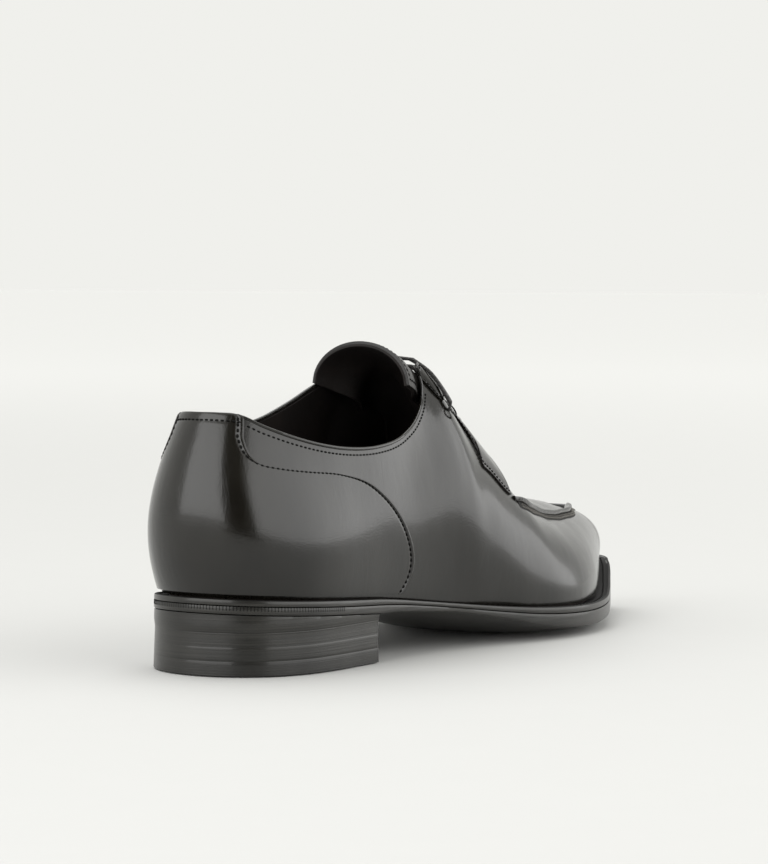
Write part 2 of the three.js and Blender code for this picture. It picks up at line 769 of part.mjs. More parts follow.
// The outsole: full length, thin and undercut at the waist, rolled up at the toe
function makeOutsole() {
  return soleSolid('outsole', materials.edge, (at, round) => {
    const middle = spinePoint(at);
    const topAt = (inset) => {
      const point = insetPoint(round, inset);
      point.z = weltBottom(point.x) - size.clearance;
      return point;
    };
    const edge = topAt(margins.soleTop);
    const belly = insetPoint(round, 0);
    const corner = insetPoint(round, margins.soleCorner);
    corner.z = soleCorner(corner.x);
    belly.z = mix(corner.z, edge.z, 0.5);
    const topMiddle = middle.clone();
    topMiddle.z = weltBottom(middle.x) - size.clearance;
    const under = [0.25, 0.5, 0.75, 1].map((share) => {
      const point = corner.clone().lerp(middle, share);
      const rise = (1 - share) ** 3;
      const pressed = soleMiddle(point.x) - size.ballPress * flatBall(point.x);
      point.z = Math.max(0, mix(pressed, soleCorner(point.x), rise));
      return point;
    });
    return [topMiddle, edge, belly, corner, ...under];
  });
}

// How far the ball of the sole is pressed flat on the floor
function flatBall(x) {
  const share = Math.abs(x / size.length - places.ballMiddle) / places.ballReach;
  return Math.max(0, 1 - share * share);
}

// The welt: a strip all round that carries the upper's wall
function makeWelt() {
  const facets = new Facets();
  [1, -1].forEach((side) => {
    const rows = stationAt.map((at) => {
      const round = side > 0 ? at : 2 - at;
      const innerInset = ledgeAt(at) + size.wall;
      const place = (inset, height) => {
        const point = insetPoint(round, inset);
        point.z = height(point.x);
        return point;
      };
      const topOuter = place(margins.weltTop, soleTop);
      const sideOuter = place(margins.weltSide, (x) => mix(weltBottom(x), soleTop(x), 0.6));
      const bottomOuter = place(margins.weltBottom, weltBottom);
      const bottomInner = place(innerInset, weltBottom);
      const topInner = place(innerInset, soleTop);
      return [topOuter, sideOuter, bottomOuter, bottomInner, topInner, topOuter];
    });
    facets.sheet(rows, side < 0);
  });
  return facets.mesh('welt', materials.welt);
}

// The insole: fills the feather line between the wall and the outsole
function makeInsole() {
  return soleSolid('insole', materials.lining, (at, round) => {
    const inset = ledgeAt(at) + size.wall + 2 * size.clearance;
    const edge = insetPoint(round, inset);
    const middle = spinePoint(at);
    const bottom = (point) => {
      const low = point.clone();
      low.z = weltBottom(point.x);
      return low;
    };
    const top = (point, height) => {
      const high = point.clone();
      high.z = weltBottom(point.x) + height * size.insoleThickness;
      return high;
    };
    const halfway = edge.clone().lerp(middle, 0.5);
    return [top(middle, 1), top(halfway, 1), top(edge, 1.08), bottom(edge), bottom(middle)];
  });
}

// The station where the outline reaches a distance from the heel's back
function stationOf(x) {
  let low = 0;
  let high = 0.5;
  for (let i = 0; i < 30; i += 1) {
    const middle = (low + high) / 2;
    if (outlineX(middle) * size.length < x) low = middle;
    else high = middle;
  }
  return low;
}

// The heel's outline at a height, round the back and cut off by the pitched breast
function heelRing(z) {
  const share = 1 - z / size.heelHeight;
  const breast = size.heelLength - size.heelPitch * share;
  const reach = stationOf(breast);
  const points = steps(fineness.heel).map((turn) => (
    insetPoint(mix(-reach, reach, turn), size.heelInset - size.heelFlare * share)
  ));
  points.forEach((point, i) => {
    const end = i === 0 || i === points.length - 1;
    point.x = end ? breast : Math.min(point.x, breast - size.clearance);
  });
  return points;
}

// One layer of the heel; the upper face is level or follows the sole
function heelLayer(name, paint, low, high) {
  const facets = new Facets();
  const level = typeof high === 'number';
  const bottom = heelRing(low);
  const top = heelRing(level ? high : size.heelHeight);
  bottom.forEach((point) => { point.z = low; });
  top.forEach((point) => { point.z = level ? high : high(point.x); });
  facets.sheet([[...bottom, bottom[0]], [...top, top[0]]]);
  facets.lid(bottom);
  facets.lid(top, true);
  return facets.mesh(name, paint);
}

const shoe = new THREE.Group();
shoe.add(makeUpper());
shoe.add(makeCounter());
shoe.add(makeFacing('facing_outside', 1));
shoe.add(makeFacing('facing_inside', -1));
shoe.add(makeApronSeam());
shoe.add(makeTongue());
for (let number = 1; number <= size.laceBars; number += 1) shoe.add(makeLaceBar(number));
shoe.add(makeInsole());
shoe.add(makeWelt());
shoe.add(makeOutsole());
const liftsTop = places.heelSeat * size.heelHeight - margins.seat;
const liftThickness = (liftsTop - size.topPieceThickness) / size.liftCount;
for (let lift = 0; lift < size.liftCount; lift += 1) {
  const low = size.topPieceThickness + lift * liftThickness;
  shoe.add(heelLayer(`heel_lift_${lift + 1}`, materials.edge, low, low + liftThickness));
}
shoe.add(heelLayer(
  'heel_seat_lift',
  materials.edge,
  size.topPieceThickness + size.liftCount * liftThickness,
  (x) => soleMiddle(x) - size.clearance,
));
shoe.add(heelLayer('top_piece', materials.rubber, 0, size.topPieceThickness));

// The heel's middle on the floor becomes the origin
shoe.position.x = -size.heelLength / 2;

export default shoe;
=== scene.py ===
"""Looks of a right lace-up dress shoe.

An apron-front derby in polished dark calf on a stitched leather sole.
"""
import json
import math

import bpy
import bmesh
import numpy as np
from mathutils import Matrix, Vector

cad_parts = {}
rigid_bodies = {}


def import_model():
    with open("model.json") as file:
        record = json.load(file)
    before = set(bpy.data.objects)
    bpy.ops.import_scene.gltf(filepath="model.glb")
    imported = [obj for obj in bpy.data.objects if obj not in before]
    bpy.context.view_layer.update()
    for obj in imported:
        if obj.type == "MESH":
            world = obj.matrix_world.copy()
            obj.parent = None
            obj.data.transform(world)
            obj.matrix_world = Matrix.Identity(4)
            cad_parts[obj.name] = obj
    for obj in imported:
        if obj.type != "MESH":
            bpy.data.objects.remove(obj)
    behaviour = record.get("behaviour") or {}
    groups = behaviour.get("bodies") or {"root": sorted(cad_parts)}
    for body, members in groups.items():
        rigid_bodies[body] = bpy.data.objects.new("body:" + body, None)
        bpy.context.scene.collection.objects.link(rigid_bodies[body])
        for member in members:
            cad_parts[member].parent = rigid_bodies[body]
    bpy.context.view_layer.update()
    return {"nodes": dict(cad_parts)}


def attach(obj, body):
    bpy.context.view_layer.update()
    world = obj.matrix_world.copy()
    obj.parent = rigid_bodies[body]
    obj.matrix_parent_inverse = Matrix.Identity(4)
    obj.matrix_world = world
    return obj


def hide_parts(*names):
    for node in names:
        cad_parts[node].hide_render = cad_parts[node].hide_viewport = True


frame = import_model()
nodes = frame["nodes"]


# ---------- camera, at the photograph's angle ----------
def mm(x, y, z):
    """Millimetres from the heel's back edge to the part's frame in metres."""
    return Vector(((x - HEEL_LENGTH / 2) / 1000, y / 1000, z / 1000))


HEEL_LENGTH = 70.0
camera_data = bpy.data.cameras.new("camera")
camera_data.lens = 138.08
camera_data.sensor_width = 36.0
camera_data.clip_end = 100.0
camera = bpy.data.objects.new("camera", camera_data)
bpy.context.collection.objects.link(camera)
camera.location = mm(-923.3, -717.7, 144.7)
camera.rotation_euler = Vector((0.8231, 0.5657, -0.0500)).to_track_quat("-Z", "Y").to_euler()
bpy.context.scene.camera = camera


# ---------- the last: the same surface as the part's source, in millimetres ----------
SIZE = dict(
    length=291, ball=102, heel=68.6, heel_height=22.4, heel_flare=0.9, heel_pitch=1.6, ball_press=0.7,
    toe_spring=14.6, sole_edge=8.4, sole_crown=5, welt=2.6, ledge=6, back=65.3, instep=92.6, collar=57.8,
    swing=9.3, wall=1.8, overlay=1.1, clearance=0.3, tongue_gap=1.1, lace_gap=1.1, tongue_width=43,
    top_piece=5.5,
)


def table(columns, rows):
    """Rows with named columns."""
    return {name: np.array([row[i] for row in rows], float) for i, name in enumerate(columns.split())}


OUTLINE_ROWS = table('at x heelOut ballOut heelIn ballIn', [
    (0, 0, 0, 0, 0, 0),
    (0.029, 0.0045, 0.138, 0, 0.138, 0),
    (0.059, 0.018, 0.268, 0, 0.268, 0),
    (0.095, 0.0464, 0.396, 0, 0.394, 0),
    (0.134, 0.086, 0.472, 0, 0.466, 0),
    (0.186, 0.144, 0.5, 0, 0.491, 0),
    (0.234, 0.199, 0.494, 0, 0.484, 0),
    (0.286, 0.258, 0.484, 0, 0.466, 0),
    (0.347, 0.326, 0, 0.325, 0, 0.298),
    (0.417, 0.405, 0, 0.351, 0, 0.3),
    (0.489, 0.485, 0, 0.402, 0, 0.339),
    (0.554, 0.557, 0, 0.45, 0, 0.406),
    (0.618, 0.629, 0, 0.474, 0, 0.478),
    (0.676, 0.694, 0, 0.455, 0, 0.522),
    (0.734, 0.757, 0, 0.398, 0, 0.53),
    (0.8, 0.822, 0, 0.302, 0, 0.502),
    (0.867, 0.887, 0, 0.193, 0, 0.446),
    (0.916, 0.936, 0, 0.11, 0, 0.392),
    (0.953, 0.97, 0, 0.045, 0, 0.338),
    (0.98, 0.992, 0, -0.016, 0, 0.262),
    (1, 1, 0, -0.12, 0, 0.12),
])
SOLE_ROWS = table('x heel spring crown edge welt', [
    (-0.01, 1.01, 0, 0, 0.631, 0.85),
    (0.069, 0.946, 0, 0, 0.631, 0.85),
    (0.137, 0.888, 0, 0, 0.631, 0.85),
    (0.206, 0.83, 0, 0, 0.631, 0.85),
    (0.247, 0.79, 0, 0.02, 0.631, 0.8),
    (0.289, 0.714, 0, 0.28, 0.536, 0.7),
    (0.326, 0.643, 0, 0.42, 0.488, 0.62),
    (0.405, 0.473, 0, 0.76, 0.405, 0.6),
    (0.485, 0.232, 0, 1.08, 0.536, 0.75),
    (0.557, 0.0625, 0, 1, 0.81, 0.95),
    (0.629, 0, 0, 0.8, 0.964, 1),
    (0.694, 0, 0, 0.68, 1, 1),
    (0.757, 0, 0.03, 0.7, 0.988, 1),
    (0.822, 0, 0.18, 0.56, 0.976, 1),
    (0.887, 0, 0.41, 0.4, 0.952, 1),
    (0.936, 0, 0.64, 0.22, 0.94, 1),
    (0.97, 0, 0.82, 0.12, 0.952, 1),
    (1.01, 0, 1.02, 0.04, 0.952, 1),
])
RIB_ROWS = table('at ledge x out in swing backOut backIn riseOut riseIn lean low high dropOut dropIn', [
    (0, 0.5, 0.0268, 0, 0, 0, 1, 1, 0, 0, 20, 0.42, 0.42, 66, 66),
    (0.029, 0.5, 0.031, 0.116, 0.116, 0, 1, 1, 0, 0, 20, 0.42, 0.42, 66, 66),
    (0.059, 0.5, 0.0423, 0.22, 0.22, 0, 0.994, 0.994, 0, 0, 20, 0.42, 0.42, 68, 68),
    (0.095, 0.5, 0.062, 0.322, 0.318, 0, 0.944, 0.965, 0, 0, 18, 0.42, 0.4, 72, 72),
    (0.134, 0.467, 0.0945, 0.408, 0.398, 0, 0.897, 0.946, 0, 0, 16, 0.42, 0.38, 76, 74),
    (0.186, 0.433, 0.148, 0.476, 0.458, 0, 0, 0, 0.604, 0.658, 14, 0.42, 0.36, 80, 74),
    (0.234, 0.417, 0.201, 0.5, 0.481, 0, 0, 0, 0.596, 0.663, 12, 0.42, 0.36, 82, 74),
    (0.286, 0.4, 0.258, 0.502, 0.481, 0, 0, 0, 0.609, 0.693, 10, 0.42, 0.36, 80, 70),
    (0.347, 0.4, 0.325, 0.467, 0.443, 0, 0, 0, 0.669, 0.786, 10.5, 0.435, 0.364, 76, 66),
    (0.383, 0.417, 0.368, 0.415, 0.391, 0, 0, 0, 0.743, 0.869, 8.2, 0.445, 0.419, 64.5, 60),
    (0.417, 0.433, 0.407, 0.329, 0.318, 0, 0, 0, 0.843, 0.938, 7.2, 0.419, 0.456, 51.6, 52),
    (0.44, 0.467, 0.431, 0.235, 0.26, 0, 0, 0, 0.921, 0.975, 8.9, 0.291, 0.519, 41.4, 42),
    (0.462, 0.533, 0.4485, 0.131, 0.128, 0.22, 0, 0, 0.999, 1.005, 12, 0.21, 0.593, 31.7, 24),
    (0.489, 0.633, 0.4777, 0, 0, 0.48, 0, 0, 0.966, 0.966, 12.5, 0.498, 0.553, 0, 0),
    (0.554, 0.733, 0.536, 0, 0, 0.65, 0, 0, 0.802, 0.802, 7.1, 0.465, 0.538, 0, 0),
    (0.618, 0.833, 0.591, 0, 0, 0.81, 0, 0, 0.604, 0.604, 5.8, 0.497, 0.487, 0, 0),
    (0.676, 0.833, 0.6495, 0, 0, 0.91, 0, 0, 0.494, 0.494, 5.9, 0.544, 0.516, 0, 0),
    (0.734, 0.867, 0.7045, 0, 0, 0.97, 0, 0, 0.441, 0.441, 7.5, 0.567, 0.574, 0, 0),
    (0.8, 0.9, 0.756, 0, 0, 1, 0, 0, 0.414, 0.414, 10.4, 0.597, 0.62, 0, 0),
    (0.867, 0.92, 0.794, 0, 0, 1, 0, 0, 0.394, 0.394, 12, 0.63, 0.675, 0, 0),
    (0.916, 0.94, 0.818, 0, 0, 0.99, 0, 0, 0.38, 0.38, 14.1, 0.743, 0.538, 0, 0),
    (0.953, 0.95, 0.8316, 0, 0, 0.98, 0, 0, 0.369, 0.369, 19.8, 0.77, 0.513, 0, 0),
    (0.98, 0.95, 0.8385, 0, 0, 0.97, 0, 0, 0.363, 0.363, 14, 0.68, 0.68, 0, 0),
    (1, 0.95, 0.842, 0, 0, 0.97, 0, 0, 0.36, 0.36, 14, 0.68, 0.7, 0, 0),
])
COUNTER_SEAM = table('at h back', [
    (0.065, 1, 1),
    (0.065, 0.93, 0.94),
    (0.065, 0.88, 0.89),
    (0.073, 0.803, 0.83),
    (0.088, 0.767, 0.79),
    (0.118, 0.773, 0.76),
    (0.155, 0.793, 0.73),
    (0.205, 0.81, 0.7),
    (0.25, 0.767, 0.65),
    (0.285, 0.647, 0.56),
    (0.313, 0.487, 0.44),
    (0.33, 0.333, 0.31),
    (0.337, 0.21, 0.2),
    (0.333, 0.11, 0.11),
    (0.32, 0.025, 0.025),
])
FACING_ROWS = table('seamAt seamH edgeAt edgeH', [
    (0.438, 0.995, 0.446, 1),
    (0.452, 0.87, 0.462, 0.975),
    (0.468, 0.79, 0.477, 0.91),
    (0.487, 0.72, 0.495, 0.88),
    (0.5, 0.66, 0.512, 0.88),
    (0.508, 0.6, 0.528, 0.88),
    (0.511, 0.53, 0.544, 0.88),
    (0.509, 0.47, 0.558, 0.88),
    (0.502, 0.41, 0.57, 0.88),
    (0.53, 0.412, 0.58, 0.88),
    (0.556, 0.423, 0.586, 0.88),
])
QUARTER_FRONT = table('at h', [
    (0.586, 0.88),
    (0.574, 0.75),
    (0.561, 0.567),
    (0.556, 0.423),
])
APRON_SEAM = table('at h', [
    (0.564, 0.42),
    (0.575, 0.43),
    (0.61, 0.475),
    (0.657, 0.555),
    (0.712, 0.603),
    (0.78, 0.622),
    (0.85, 0.635),
    (0.905, 0.65),
    (0.95, 0.66),
    (1, 0.665),
])
TONGUE_ROWS = table('at side', [
    (0.612, 0.62),
    (0.585, 0.62),
    (0.56, 0.62),
    (0.535, 0.64),
    (0.51, 0.66),
    (0.487, 0.68),
])
TONGUE_TOP = table('x y rise width drop', [
    (0.445, 0.1, 0.98, 0.78, 0.88),
    (0.42, 0.02, 1.02, 0.7, 0.84),
    (0.39, 0, 1.055, 0.93, 0.8),
    (0.364, 0.06, 1.08, 1.04, 0.78),
])


def smooth_line(at, values):
    """A smooth line through rows, with slopes from each row's two neighbours."""
    at, values = np.asarray(at, float), np.asarray(values, float)
    step = np.diff(at)
    rise = np.diff(values, axis=0) / (step if values.ndim == 1 else step[:, None])
    slope = np.empty_like(values)
    slope[0], slope[-1] = rise[0], rise[-1]
    share = step
    before, after = share[:-1], share[1:]
    if values.ndim > 1:
        before, after = before[:, None], after[:, None]
    slope[1:-1] = (rise[:-1] * after + rise[1:] * before) / (before + after)

    def line(where):
        where = np.asarray(where, float)
        i = np.clip(np.searchsorted(at, where, side="left") - 1, 0, len(at) - 2)
        width = at[i + 1] - at[i]
        u = (where - at[i]) / width
        if values.ndim > 1:
            u, width = u[..., None], width[..., None]
        return ((2 * u**3 - 3 * u**2 + 1) * values[i] + (u**3 - 2 * u**2 + u) * width * slope[i]
                + (3 * u**2 - 2 * u**3) * values[i + 1] + (u**3 - u**2) * width * slope[i + 1])
    return line


def round_line(at, outside, inside):
    """The same line run round the whole shoe: 0 heel, 1 toe by the outside, 2 heel again by the inside."""
    places = np.concatenate([at, 2 - at[-2:0:-1]])
    values = np.concatenate([outside, inside[-2:0:-1]])
    places = np.concatenate([places - 2, places, places + 2])
    line = smooth_line(places, np.tile(values, 3))
    return lambda where: line(np.mod(where, 2.0))


O, S, R = OUTLINE_ROWS, SOLE_ROWS, RIB_ROWS
outline_x = round_line(O["at"], O["x"], O["x"])
outline_y = round_line(O["at"], -O["heelOut"] * SIZE["heel"] - O["ballOut"] * SIZE["ball"],
                       O["heelIn"] * SIZE["heel"] + O["ballIn"] * SIZE["ball"])
sole_line = {name: smooth_line(S["x"], S[name]) for name in ("heel", "spring", "crown", "edge", "welt")}
swing_y = R["swing"] * SIZE["swing"]
rib_line = dict(
    ledge=round_line(R["at"], R["ledge"], R["ledge"]), x=round_line(R["at"], R["x"], R["x"]),
    y=round_line(R["at"], -R["out"] * SIZE["collar"] + swing_y, R["in"] * SIZE["collar"] + swing_y),
    back=round_line(R["at"], R["backOut"], R["backIn"]), rise=round_line(R["at"], R["riseOut"], R["riseIn"]),
    lean=round_line(R["at"], R["lean"], R["lean"]), low=round_line(R["at"], R["low"], R["low"]),
    high=round_line(R["at"], R["high"], R["high"]), drop=round_line(R["at"], R["dropOut"], R["dropIn"]),
)


def sole_middle(x):
    share = x / SIZE["length"]
    return sole_line["heel"](share) * SIZE["heel_height"] + sole_line["spring"](share) * SIZE["toe_spring"]


def sole_corner(x):
    return sole_middle(x) + sole_line["crown"](x / SIZE["length"]) * SIZE["sole_crown"]


def sole_top(x):
    return sole_corner(x) + sole_line["edge"](x / SIZE["length"]) * SIZE["sole_edge"]


def welt_bottom(x):
    return sole_top(x) - sole_line["welt"](x / SIZE["length"]) * SIZE["welt"]


def outline(at):
    return np.stack([outline_x(at) * SIZE["length"], outline_y(at)], -1)


def outline_normal(at):
    run = outline(at + 0.001) - outline(at - 0.001)
    run /= np.linalg.norm(run, axis=-1, keepdims=True)
    return np.stack([run[..., 1], -run[..., 0]], -1)


def inset(at, distance):
    return outline(at) - outline_normal(at) * np.asarray(distance)[..., None]


def ledge(at):
    return rib_line["ledge"](at) * SIZE["ledge"]


def crest_fall(at, away):
    """The crest's own slope in the way a rib leaves it, so that both sides meet without a crease."""
    side = 1 - np.abs(np.mod(at, 2) - 1)
    near = np.minimum(side, 0.965)

    def crest(where):
        x = rib_line["x"](where) * SIZE["length"]
        return np.stack([x, rib_line["y"](where), sole_top(x) + rib_line["rise"](where) * SIZE["instep"]], -1)
    run = crest(near + 0.012) - crest(near - 0.012)
    level = np.hypot(run[..., 0], run[..., 1])
    along = (away[..., 0] * run[..., 0] + away[..., 1] * run[..., 1]) / level
    share = np.clip((side - 0.55) / 0.09, 0, 1)
    return share * share * (3 - 2 * share) * run[..., 2] / level * along


def rib(at, h):
    """A point on the last: at runs round the shoe, h from the feather line up the rib."""
    at, h = np.broadcast_arrays(np.asarray(at, float), np.asarray(h, float))
    outward = outline_normal(at)
    foot = inset(at, ledge(at))
    foot_z = sole_top(foot[..., 0]) + SIZE["clearance"]
    top = np.stack([rib_line["x"](at) * SIZE["length"], rib_line["y"](at)], -1)
    top_z = (sole_top(top[..., 0]) + rib_line["back"](at) * SIZE["back"]
             + rib_line["rise"](at) * SIZE["instep"])
    height = top_z - foot_z
    reach = np.linalg.norm(top - foot, axis=-1)
    lean, drop = np.radians(rib_line["lean"](at)), np.radians(rib_line["drop"](at))
    low_pull = rib_line["low"](at) * height
    high_pull = rib_line["high"](at) * (reach * np.cos(drop) + height * np.sin(drop))
    chord = foot - top
    chord /= np.maximum(np.linalg.norm(chord, axis=-1, keepdims=True), 1e-6)
    toe = np.clip((1 - np.abs(np.mod(at, 2) - 1) - 0.7) / 0.25, 0, 1)
    toe = (toe * toe * (3 - 2 * toe))[..., None]
    fanned = outward * (1 - toe) + chord * toe
    fanned /= np.linalg.norm(fanned, axis=-1, keepdims=True)
    low = foot + outward * (low_pull * np.sin(lean))[..., None]
    high = top + fanned * (high_pull * np.cos(drop))[..., None]
    k = 1 - h
    weights = [k**3, 3 * k * k * h, 3 * k * h * h, h**3]
    plan = sum(w[..., None] * p for w, p in zip(weights, (foot, low, high, top)))
    high_z = top_z - high_pull * np.sin(drop) + high_pull * np.cos(drop) * crest_fall(at, fanned)
    z = sum(w * p for w, p in zip(weights, (foot_z, foot_z + low_pull * np.cos(lean), high_z, top_z)))
    return np.concatenate([plan, z[..., None]], -1)


def last_normal(at, h):
    step = 0.002
    round_way = rib(at + step, h) - rib(at - step, h)
    up_way = rib(at, np.minimum(h + step, 1)) - rib(at, np.maximum(h - step, 0))
    n = np.cross(round_way, up_way)
    return n / np.maximum(np.linalg.norm(n, axis=-1, keepdims=True), 1e-9)


def last(at, h, off):
    """The same surface moved off the last; both sides agree on the crest."""
    at, h, off = np.broadcast_arrays(np.asarray(at, float), np.asarray(h, float), np.asarray(off, float))
    n = last_normal(at, h)
    crest = h > 0.999
    both = n + last_normal(2 - at, h)
    both /= np.maximum(np.linalg.norm(both, axis=-1, keepdims=True), 1e-9)
    n = np.where(crest[..., None], both, n)
    return rib(at, h) + n * off[..., None]


def blend(a, b, share):
    return a + (b - a) * share


def ease(x, low, high):
    u = np.clip((x - low) / (high - low), 0, 1)
    return u * u * (3 - 2 * u)


# ---------- meshes ----------
def finish_piece(name, verts, faces, uvs, paint, node=None, bevel=0.0, angle=35.0):
    """A mesh in millimetres becomes a piece in the part's frame, its faces outward."""
    verts = np.asarray(verts, float).copy()
    verts[:, 0] -= HEEL_LENGTH / 2
    mesh = bpy.data.meshes.new(name)
    mesh.from_pydata((verts / 1000).tolist(), [], faces)
    if uvs is not None:
        layer = mesh.uv_layers.new(name="UVMap")
        loops = np.empty(len(mesh.loops), np.int32)
        mesh.loops.foreach_get("vertex_index", loops)
        layer.data.foreach_set("uv", np.asarray(uvs, np.float32)[loops].ravel())
    obj = bpy.data.objects.new(name, mesh)
    bpy.context.collection.objects.link(obj)
    work = bmesh.new()
    work.from_mesh(mesh)
    bmesh.ops.remove_doubles(work, verts=work.verts, dist=2e-6)
    bmesh.ops.dissolve_degenerate(work, edges=work.edges, dist=1e-7)
    bmesh.ops.recalc_face_normals(work, faces=work.faces)
    work.to_mesh(mesh)
    work.free()
    bpy.ops.object.select_all(action="DESELECT")
    obj.select_set(True)
    bpy.context.view_layer.objects.active = obj
    if bevel:
        edge = obj.modifiers.new("edge", "BEVEL")
        edge.limit_method = "ANGLE"
        edge.angle_limit = math.radians(48)
        edge.width = bevel / 1000
        edge.segments = 2
        bpy.ops.object.modifier_apply(modifier="edge")
    bpy.ops.object.shade_smooth_by_angle(angle=math.radians(angle))
    obj.data.materials.append(paint)
    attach(obj, "root")
    if node:
        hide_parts(*([node] if isinstance(node, str) else node))
    return obj


def grid_faces(rows, columns, start=0, wrap=False, flip=False):
    faces = []
    last_column = columns if wrap else columns - 1
    for i in range(rows - 1):
        for j in range(last_column):
            a, b = start + i * columns + j, start + i * columns + (j + 1) % columns
            face = (a, a + columns, b + columns, b)
            faces.append(face[::-1] if flip else face)
    return faces


def arc_uv(grid):
    """Length along each way of a sheet, in metres, for patterns that follow the leather."""
    du = np.linalg.norm(np.diff(grid, axis=0), axis=-1).mean(1)
    dv = np.linalg.norm(np.diff(grid, axis=1), axis=-1)
    u = np.concatenate([[0], np.cumsum(du)])
    v = np.concatenate([np.zeros((len(grid), 1)), np.cumsum(dv, axis=1)], 1)
    return np.stack([np.broadcast_to(u[:, None], v.shape), v], -1).reshape(-1, 2) / 1000


def shell(name, outer, inner, paint, node=None, bevel=0.3):
    """Two sheets of the same grid and the four edges between them."""
    rows, columns = outer.shape[:2]
    count = rows * columns
    verts = np.concatenate([outer.reshape(-1, 3), inner.reshape(-1, 3)])
    uv = np.tile(arc_uv(outer), (2, 1))
    faces = grid_faces(rows, columns) + grid_faces(rows, columns, count, flip=True)
    ring = ([i * columns for i in range(rows)] + [(rows - 1) * columns + j for j in range(1, columns)]
            + [i * columns + columns - 1 for i in range(rows - 2, -1, -1)]
            + [j for j in range(columns - 2, 0, -1)])
    for a, b in zip(ring, ring[1:] + ring[:1]):
        faces.append((a, b, b + count, a + count))
    return finish_piece(name, verts, faces, uv, paint, node, bevel)


def tube(name, rings, paint, node=None, bevel=0.0, closed=False):
    """A bar through rings of points, with both ends closed unless it runs in a loop."""
    count, sides = rings.shape[:2]
    loop = np.concatenate([rings, rings[:1]]) if closed else rings
    faces = grid_faces(len(loop), sides, wrap=True)
    if not closed:
        faces += [tuple(range(sides))[::-1], tuple(range((count - 1) * sides, count * sides))]
    else:
        faces = [tuple(v % (count * sides) for v in face) for face in faces]
    length = np.concatenate([[0], np.cumsum(np.linalg.norm(np.diff(loop.mean(1), axis=0), axis=-1))])[:count]
    uv = np.stack([np.repeat(length, sides) / 1000, np.tile(np.arange(sides) / sides, count) * 0.01], -1)
    return finish_piece(name, rings.reshape(-1, 3), faces, uv, paint, node, bevel)


def resample(path, step, normals=None):
    """Evenly spaced points on a line, their directions and normals."""
    gaps = np.linalg.norm(np.diff(path, axis=0), axis=-1)
    run = np.concatenate([[0], np.cumsum(gaps)])
    count = max(2, int(round(run[-1] / step)))
    where = (np.arange(count) + 0.5) * run[-1] / count
    pick = lambda values: np.stack([np.interp(where, run, values[:, k]) for k in range(3)], -1)
    points = pick(path)
    ahead = np.stack([np.interp(where + 0.05, run, path[:, k]) for k in range(3)], -1)
    behind = np.stack([np.interp(where - 0.05, run, path[:, k]) for k in range(3)], -1)
    way = ahead - behind
    way /= np.maximum(np.linalg.norm(way, axis=-1, keepdims=True), 1e-9)
    up = pick(normals)
    up -= way * (up * way).sum(-1, keepdims=True)
    up /= np.maximum(np.linalg.norm(up, axis=-1, keepdims=True), 1e-9)
    return points, way, up


def stitches(name, rows, paint, step=2.0, length=1.5, radius=0.24, sink=0.05, slant=0.0):
    """Rows of thread stitches laid on a surface: each is a small rounded bar with a few dozen faces."""
    verts, faces = [], []
    stations = [(-0.5, 0.35, -0.5), (-0.36, 0.85, 0.1), (0, 1.0, 0.35), (0.36, 0.85, 0.1), (0.5, 0.35, -0.5)]
    ring = [(math.cos(a), math.sin(a)) for a in np.linspace(0, 2 * math.pi, 7)[:-1]]
    for path, normals in rows:
        for point, way, up in zip(*resample(path, step, normals)):
            side = np.cross(up, way)
            if slant:
                way = way * math.cos(slant) + side * math.sin(slant)
                side = np.cross(up, way)
            first = len(verts)
            for along, girth, lift in stations:
                middle = point + way * along * length + up * (lift * radius - sink)
                verts += [middle + (side * c + up * s) * radius * girth for c, s in ring]
            for k in range(4):
                for j in range(6):
                    a, b = first + k * 6 + j, first + k * 6 + (j + 1) % 6
                    faces.append((a, b, b + 6, a + 6))
            faces.append(tuple(first + j for j in range(6))[::-1])
            faces.append(tuple(first + 24 + j for j in range(6)))
    return finish_piece(name, verts, faces, None, paint, angle=80)


# ---------- finishes ----------
class Value:
    """A socket with arithmetic: an expression adds its Math nodes."""

    def __init__(self, paint, socket):
        self.paint, self.socket = paint, socket

    def math(self, operation, *others, clamp=False):
        node = self.paint.node("ShaderNodeMath", dict(operation=operation, use_clamp=clamp), self, *others)
        return Value(self.paint, node.outputs[0])

    def __add__(self, other):
        return self.math("ADD", other)

    def __sub__(self, other):
        return self.math("SUBTRACT", other)

    def __mul__(self, other):
        return self.math("MULTIPLY", other)

    def __truediv__(self, other):
        return self.math("DIVIDE", other)

    def __radd__(self, other):
        return self * 1.0 + other

    def __rmul__(self, other):
        return self * other

    def __rsub__(self, other):
        return self * -1.0 + other

    def clamp(self):
        return self.math("ADD", 0.0, clamp=True)

    def power(self, other):
        return self.math("POWER", other)

    def ramp(self, low, high):
        """0 below low, 1 above high, with a soft shoulder."""
        node = self.paint.node("ShaderNodeMapRange", dict(interpolation_type="SMOOTHSTEP"),
                               self, low, high, 0.0, 1.0)
        return Value(self.paint, node.outputs[0])


